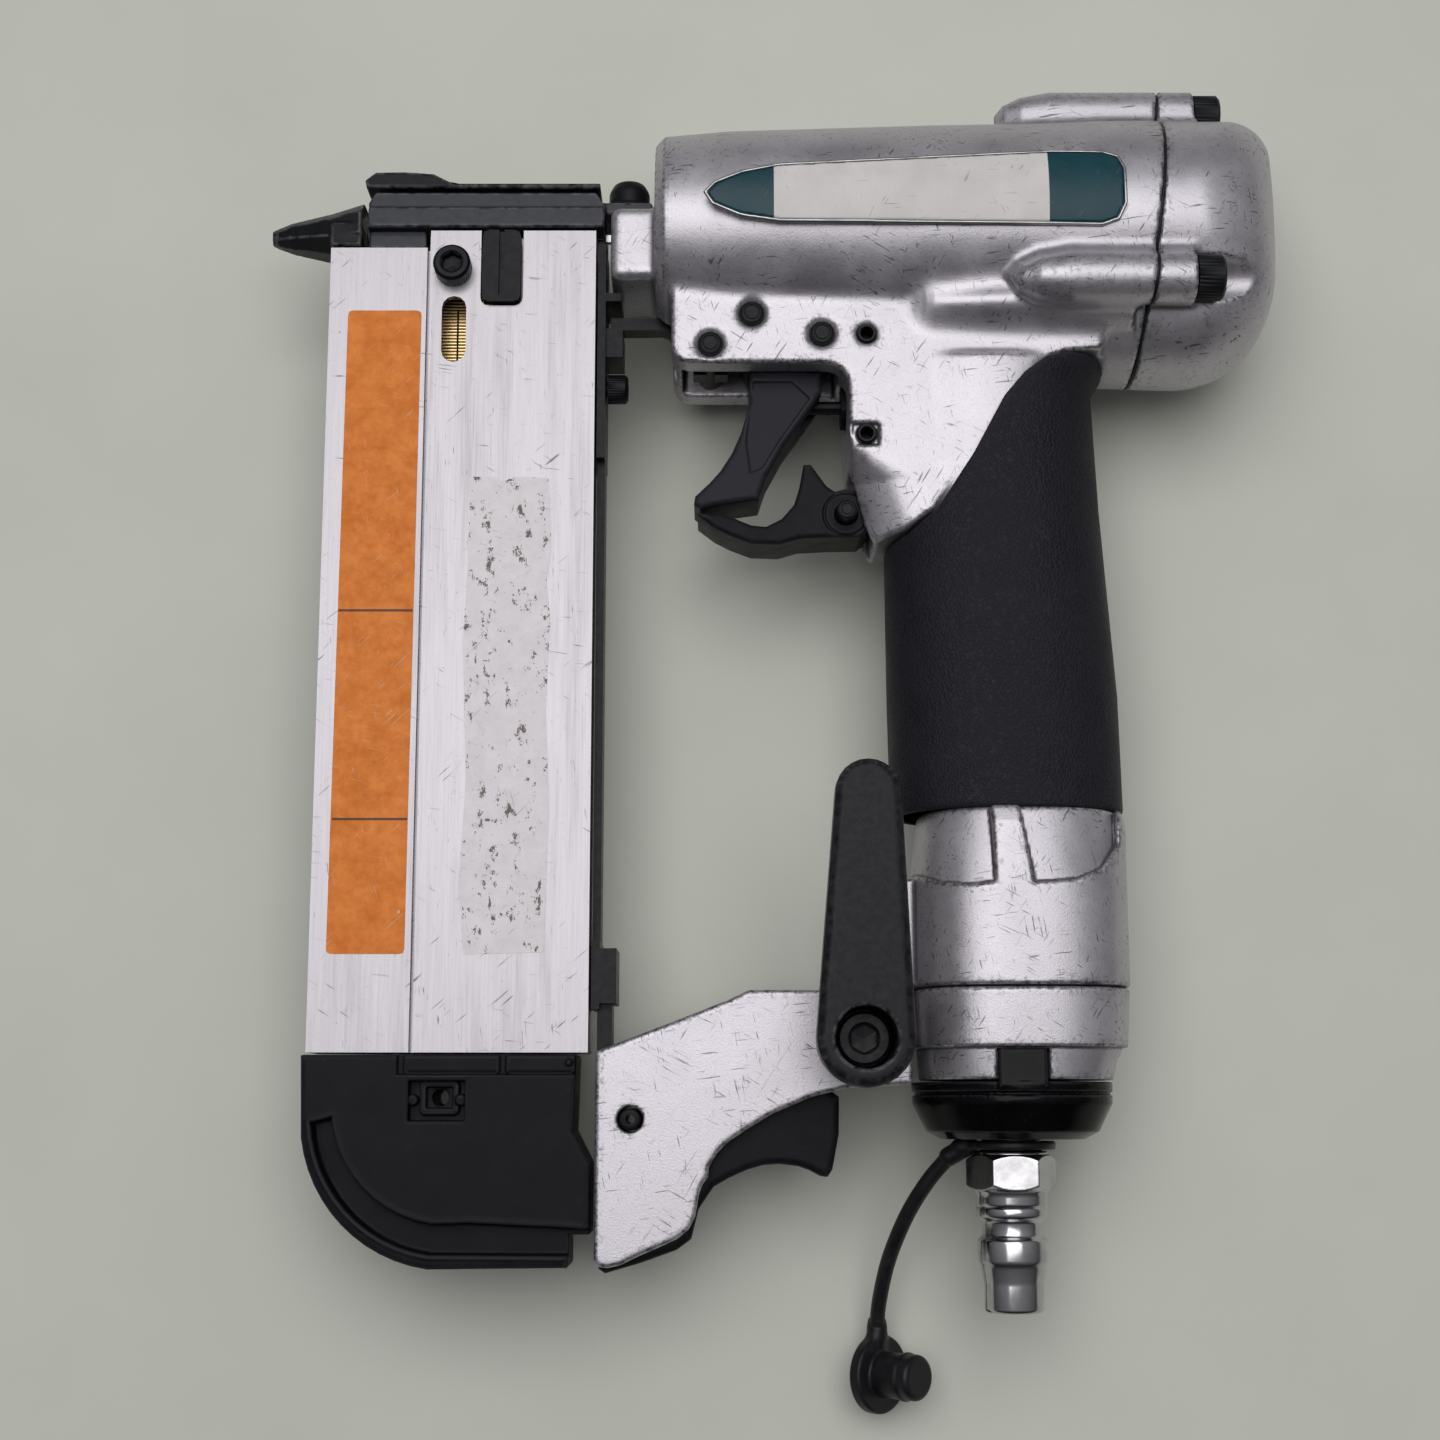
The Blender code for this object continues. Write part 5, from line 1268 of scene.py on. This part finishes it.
def end_cap_moulding(p):
    """Magazine end cap: a tray with a curved channel inside its rim, a window and two tabs."""
    x, y, z = p
    shape = plate(p, end_cap_outer(), -8.1, 8.1, 0.7)
    left = MAG_LEFT_X - 0.7
    channel = arc(left + 26.8, -80.2, 24.7, 184, 262, 12) + [(-30, -104.9), (-30, -100.3)]
    channel += [(-54, -99.2)] + arc(left + 26.8, -78.4, 21.2, 262, 187, 10)
    shape = without(shape, plate(p, channel, 4.2, 20, 0.4), 0.4)
    rim = np.abs(flat_distance(x, y, channel) - 0.55) - 0.35
    rim = capped(rim, np.abs(z - 7.0) - 1.15, 0.3)
    shape = joined(shape, within(rim, flat_distance(x, y, end_cap_outer()) + 1.0, 0.3), 0.3)
    face = plate(p, [(-67, -60), (-30, -60), (-30, -73.6), (-67, -73.6)], 7.0, 12, 0.2)
    shape = without(shape, face, 0.2)
    tabs = block(p, (-65.8, -48.9), (-73.3, -70.2), (6.0, 7.75), 0.35)
    tabs = joined(tabs, block(p, (-43.0, -35.5), (-73.3, -70.2), (6.0, 7.75), 0.35))
    tabs = joined(tabs, block(p, (-47.7, -42.0), (-73.3, -70.2), (6.0, 7.75), 0.35))
    shape = joined(shape, tabs, 0.2)
    shape = without(shape, block(p, (-64.9, -54.8), (-81.7, -74.6), (5.2, 12), 0.3), 0.2)
    frame_bar = np.abs(block(p, (-62.4, -56.6), (-80.0, -75.2), (-9, 9), 0.3)) - 0.5
    shape = joined(shape, np.maximum(frame_bar, np.abs(z - 5.9) - 0.9), 0.2)
    for px in (-64.2, -55.6):
        shape = joined(shape, rod(p, "z", (px, -78.0), 0.9, 4.0, 7.6, 0.2), 0.2)
    shape = without(shape, rod(p, "z", (-59.5, -77.6), 1.5, -20, 20, 0.1))
    shape = without(shape, block(p, (-74.0, -50.0), (-98.0, -60.0), (-3.0, 3.0), 0.3))
    rivet = np.hypot(np.hypot(x + 36.6, y + 71.5), (z - 7.9)) - 0.55
    return joined(shape, rivet, 0.1)


def label(name, outline, look, body, z):
    """Printed film 0.08 mm thick, which faces up Z."""
    bm = bmesh.new()
    rings = [[bm.verts.new((x, y, w)) for x, y in outline] for w in (z, z + 0.08)]
    bm.faces.new(rings[0][::-1])
    bm.faces.new(rings[1])
    for i in range(len(outline)):
        j = (i + 1) % len(outline)
        bm.faces.new((rings[0][i], rings[0][j], rings[1][j], rings[1][i]))
    bmesh.ops.triangulate(bm, faces=bm.faces)
    put(name, mesh_of(name, bm), look, body, smooth=False)


def rounded_corners(corners, radius, steps=4):
    """A closed outline whose corners are all rounded."""
    points = []
    for i, corner in enumerate(corners):
        here = Vector(corner)
        before = (Vector(corners[i - 1]) - here).normalized() * radius
        after = (Vector(corners[(i + 1) % len(corners)]) - here).normalized() * radius
        points += bend(here + before, here, here + after, steps)
    return points


def bevelled(node, width, look):
    """A CAD node that stays: finished material and softened edges."""
    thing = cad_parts[node]
    thing.data.shade_smooth()
    thing.data.set_sharp_from_angle(angle=math.radians(30))
    edges = thing.modifiers.new("edges", "BEVEL")
    edges.width = width * MM
    edges.segments = 2
    edges.limit_method = "ANGLE"
    edges.angle_limit = math.radians(40)
    edges.use_clamp_overlap = True
    for holder in thing.material_slots:
        holder.material = LOOKS[look]


def magazine_group():
    """The nose, the magazine's foot, the CAD pieces that stay, the screws and the labels."""
    rows = [
        ("nose", nose_field, (TIP_X - 0.5, 79), (-77, 96), 8, 0.26, "black_steel", "nose_tip"),
        ("guide", guide_field, (-77, 81), (-22, 92.5), 8.4, 0.32, "guide_steel", "driver_guide"),
        ("guide_top", guide_plate_field, (-78, 92), (-32, 96.6), 8, 0.32, "black_steel", "guide_plate"),
    ]
    carve_rows("root", rows)
    low_x, body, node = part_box("magazine_end_cap")[0].x / MM - 0.5, "magazine_body", "magazine_end_cap"
    low, high = (low_x, -108, -8.6), (-32, -69, 8.8)
    carve("magazine_foot", end_cap_moulding, low, high, 0.36, "black_plastic", body, node)
    bevels = [("magazine_cover", 0.25, "brushed_aluminium"), ("magazine_slide", 0.25, "brushed_aluminium")]
    bevels += [(node, 0.3, "black_steel") for node in ("magazine_stop", "magazine_rail", "lockout_arm")]
    for bevel in bevels + [("valve_stem", 0.2, "black_steel")]:
        bevelled(*bevel)
    bolt_head("cover_screw", (-60.1, 76.6), 7.3, 3.5, 3.7, 1.9, "z", "magazine_screw", 4.0, 1.7)
    profile = [(88.2, 0), (88.2, 2.1), (90.7, 2.1), (90.7, 4.2), (91.5, 4.2), (91.5, 3.9), (94.4, 3.9)]
    bm = lathe(softened(profile + [(96.2, 2.9), (96.6, 0)], 0.6), "y", (0, -27.3))
    put("nose_screw", mesh_of("nose_screw", bm), "black_steel", "root", "nose_bolt")
    bolt_head("rail_knob", (55.2, 0), -31.1, 2.75, 3.8, 1.2, "x", "rail_screw", 0.8, 1.4)
    film = MAG_HALF + 0.02
    orange = [(-79.8, 68.4), (-66.0, 68.4), (-66.3, -52.3), (-80.3, -52.3)]
    label("orange_film", rounded_corners(orange, 1.0), "orange_label", "magazine_body", film)
    for k, y in enumerate((10.4, -28.2)):
        line = [(-79.9, y), (-66.3, y), (-66.3, y + 0.4), (-79.9, y + 0.4)]
        label(f"orange_line_{k + 1}", line, "label_line", "magazine_body", film + 0.1)
    # painted shadow: a thin strip of black film laid in where the gap by the pins lies in shade
    gap = [(-60.1, 58.8), (-59.75, 58.8), (-59.75, 70.8), (-60.1, 70.8)]
    label("pin_gap_shadow", gap, "black_plastic", "magazine_body", 0.42)
    torn = [(-56.2, 36.0), (-51.4, 36.0), (-50.2, 35.0), (-48.0, 36.0), (-41.6, 35.8)]
    torn += [(-41.0, 22.0), (-41.8, 16.0)]
    torn += [(-41.0, 9.0), (-41.6, -8.0), (-40.8, -26.0), (-41.4, -52.0), (-55.8, -52.4), (-56.8, -40.0)]
    torn += [(-55.9, -20.0), (-57.0, 4.0), (-56.3, 20.0)]
    label("worn_film", rounded_corners(torn, 0.6), "worn_label", "root", film)


magazine_group()


# ---------------------------------------------------------------- trigger, arm, latch and hook


def trigger_field(p):
    """Trigger: a curved finger face with a soft front edge, and two cheeks round the valve."""
    x, y, z = p
    outline = [(-7.0, 62.5)] + arc(PINS["trigger_pin"][0], PINS["trigger_pin"][1], 3.2, 200, -10, 8)
    outline += [(4.4, 59.5), (6.0, 57.3), (9.2, 56.7), (9.2, 52.7), (5.4, 47.2), (1.8, 42.0)]
    outline += [(0.1, 38.8), (-1.2, 36.4)]
    outline += [(-2.7, 32.0), (-8.2, 31.2), (-13.5, 30.2), (-14.7, 31.1), (-14.5, 32.6)]
    outline += [(-11.8, 35.2), (-9.8, 37.5), (-7.6, 41.0), (-5.9, 45.0), (-4.2, 51.0), (-4.6, 57.0)]
    shape = plate(p, outline, -6.45, 6.45, 1.1)
    recess = [(-3.6, 54.6), (3.6, 54.6), (6.9, 51.4), (1.2, 43.2), (-2.0, 37.9), (-4.2, 37.0), (-5.0, 43.0)]
    dish = np.maximum(flat_distance(x, y, recess), 5.95 - np.abs(z))
    shape = without(shape, dish, 0.5)
    shape = without(shape, rod(p, "z", PINS["trigger_pin"][:2], 2.5, -10, 10, 0.1))
    return without(shape, block(p, (3.6, 20), (47, 70), (-3.4, 3.4), 0.4), 0.2)


def lock_field(p):
    """Lock lever: a hooked finger, a horn up to the trigger and a hub with a raised ring."""
    ax, ay = LOCK_AXIS
    x, y, z = p
    outline = [(-14.5, 29.4), (-9.8, 29.2), (-6.9, 28.3), (-4.1, 27.1), (-1.3, 26.8)]
    outline += [(1.6, 28.3), (3.9, 31.0), (4.9, 34.3), (5.7, 38.7), (7.1, 38.7), (10.0, 34.6)]
    outline += arc(ax, ay, 4.9, 115, -60, 8)
    outline += [(10.6, 24.8), (4.8, 24.5), (1.1, 23.4), (-4.1, 23.6), (-8.0, 25.1), (-10.9, 26.6)]
    shape = plate(p, outline, -6.35, 6.35, 0.9)
    groove = np.hypot(np.hypot(x - ax, y - ay) - 4.1, np.abs(z) - 6.4) - 0.35
    shape = without(shape, groove, 0.15)
    return without(shape, rod(p, "z", (ax, ay), 2.2, -10, 10, 0.1))


def arm_outline():
    """Side view of the cast arm, from the magazine's corner round the hook to the latch."""
    top = [(-31.9, -69.5), (-20.0, -65.0), (-8.2, -60.4), (-4.7, -58.7), (24.2, -58.7)]
    low = [(24.2, -75.3), (12.9, -75.9), (6.4, -77.5), (-0.7, -80.5), (-4.7, -82.9)]
    low += [(-8.2, -85.2), (-10.3, -87.2), (-11.8, -89.6), (-11.9, -91.4), (-12.9, -92.6), (-13.5, -94.2)]
    low += [(-14.2, -98.2), (-15.3, -100.3), (-17.4, -102.0), (-20.8, -103.5)]
    low += [(-24.1, -104.9), (-27.2, -106.4)]
    return top + low + [(-29.4, -106.9), (-31.1, -106.7), (-31.9, -105.6)]


def arm_field(p):
    """The cast arm: a plate with an open pocket for the latch, and holes for its pin and the hook."""
    shape = plate(p, arm_outline(), -8.1, 8.1, 0.8)
    pocket = [(-40, -76.0), (-26.0, -72.2), (-4.0, -65.6), (9.5, -65.6), (14.0, -80)]
    pocket += [(14.0, -120), (-40, -120)]
    shape = without(shape, plate(p, pocket, -4.9, 4.9, 0.3))
    shape = without(shape, block(p, (-40, -28.8), (-80, -60), (-4.0, 4.0), 0.2))
    shape = without(shape, rod(p, "z", LATCH_AXIS, 2.3, -20, 20, 0.1), 0.3)
    return without(shape, rod(p, "z", HOOK_SPOT, 2.9, -20, 20, 0.1))


def latch_field(p):
    """Latch lever: a thumb piece with a round back, a web along the arm and the catch."""
    outline = arc(*LATCH_AXIS, 4.3, 170, 60, 6)
    outline += [(-12.0, -77.6), (0.0, -76.4), (8.0, -75.1), (11.4, -77.4), (11.3, -84.0)]
    outline += [(10.1, -90.2), (9.2, -91.5)]
    outline += [(7.9, -91.3), (6.0, -90.3), (4.0, -89.6), (0.7, -89.2), (-2.2, -89.4)]
    outline += [(-5.0, -90.2), (-8.2, -91.6)]
    outline += [(-11.0, -93.2), (-13.6, -97.0), (-14.9, -102.2), (-17.5, -104.1)]
    outline += [(-24.1, -106.4), (-30.1, -108.1)]
    outline += [(-31.3, -107.3), (-31.3, -105.1), (-28.7, -103.7), (-28.7, -90.0)]
    shape = plate(p, outline, -4.25, 4.25, 1.2)
    return without(shape, rod(p, "z", LATCH_AXIS, 2.3, -20, 20, 0.1))


def hook_field(p):
    """Belt hook: a tapered bar with round ends, on a post, with a deep round counterbore."""
    outline = arc(14.6, -67.8, 8.35, 180, 360, 14) + arc(15.4, -26.4, 5.65, 0, 180, 12)
    shape = plate(p, outline, 25.65, 32.95, 1.7)
    shape = joined(shape, rod(p, "z", HOOK_SPOT, 7.5, 8.65, 27.0, 0.5), 0.8)
    shape = without(shape, rod(p, "z", HOOK_SPOT, 5.2, 21.0, 40.0, 0.2), 0.6)
    return without(shape, rod(p, "z", HOOK_SPOT, 2.9, 0.0, 40.0, 0.1))


def pin(name, spot, radius, low, high, node, hole=0.0):
    """A pin along Z with chamfered ends, a turned groove near its rim, and a hole if it is hollow."""
    half = [(high - 0.7, radius), (high - 0.25, radius - 0.12), (high, radius - 0.5)]
    half += [(high, radius - 0.75), (high - 0.25, radius - 0.85)]
    half += [(high - 0.25, radius - 1.0), (high, radius - 1.1)]
    end = [(high, hole + 0.15), (high - 0.2, hole)] if hole else [(high, 0)]
    profile = [(low, hole), (low, radius - 0.4), (low + 0.4, radius)] + half + end
    bm = lathe(profile, "z", spot, 40, ring=bool(hole))
    piece = put(name, mesh_of(name, bm), "black_steel", "root", node)
    piece.data.set_sharp_from_angle(angle=math.radians(35))


def roll_pin(name, spot, node):
    """A rolled pin whose dark bore goes deep into each end."""
    half = [(9.0, 1.0), (12.9, 1.05), (13.2, 1.25), (13.2, 1.6), (12.8, 1.95)]
    profile = [(9.0, 0)] + half + [(-w, r) for w, r in reversed(half)] + [(-9.0, 0)]
    mesh = mesh_of(name, lathe(profile, "z", spot, 36))
    piece = put(name, mesh, "black_steel", "root", node)
    piece.data.set_sharp_from_angle(angle=math.radians(35))


def control_group():
    """Trigger, levers, arm and hook, then the pins that they turn on."""
    black, tinted, silver = "black_plastic", "trigger_plastic", "silver_casting"
    rows = [
        ("trigger_moulding", trigger_field, (-16, 29), (11, 70), 7, 0.3, tinted, "trigger"),
        ("lock_moulding", lock_field, (-16, 22), (19.5, 40), 7, 0.28, black, "lock_lever"),
        ("latch_moulding", latch_field, (-32, -109), (12.5, -74), 5, 0.32, black, "latch_lever"),
        ("arm_casting", arm_field, (-33, -108), (25, -58), 8.6, 0.4, silver, "magazine_arm"),
    ]
    for body, row in zip(("trigger_body", "lock_body", "latch_body", "root"), rows):
        carve_rows(body, [row])
    carve("hook", hook_field, (5.5, -77, 8), (24, -20, 33.5), 0.36, "black_steel", "root", "belt_hook")
    bolt_head("hook_screw", HOOK_SPOT, 21.4, 4.6, 4.0, 2.4, "z", "hook_bolt", 26.4, 2.5)
    for name, (px, py, radius) in PINS.items():
        pin(name + "_turned", (px, py), radius - 0.02, -13.4, 13.45, name)
    for name, spot in ROLL_PINS.items():
        roll_pin(name + "_rolled", spot, name)
    pin("lock_pin_turned", LOCK_AXIS, 1.95, -12.6, 9.75, "lock_pin")
    pin("latch_pin_rolled", LATCH_AXIS, 1.95, -8.6, 8.6, "latch_pin", 0.9)


control_group()


# ---------------------------------------------------------------- CAD nodes that stay, and the end


def finish_cad_nodes():
    """CAD nodes that stay on show, most of them inside, take the finished materials."""
    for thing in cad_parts.values():
        if thing.hide_render:
            continue
        for holder in thing.material_slots:
            if holder.material and holder.material.name.split(".")[0] in LOOKS:
                holder.material = LOOKS[holder.material.name.split(".")[0]]


finish_cad_nodes()
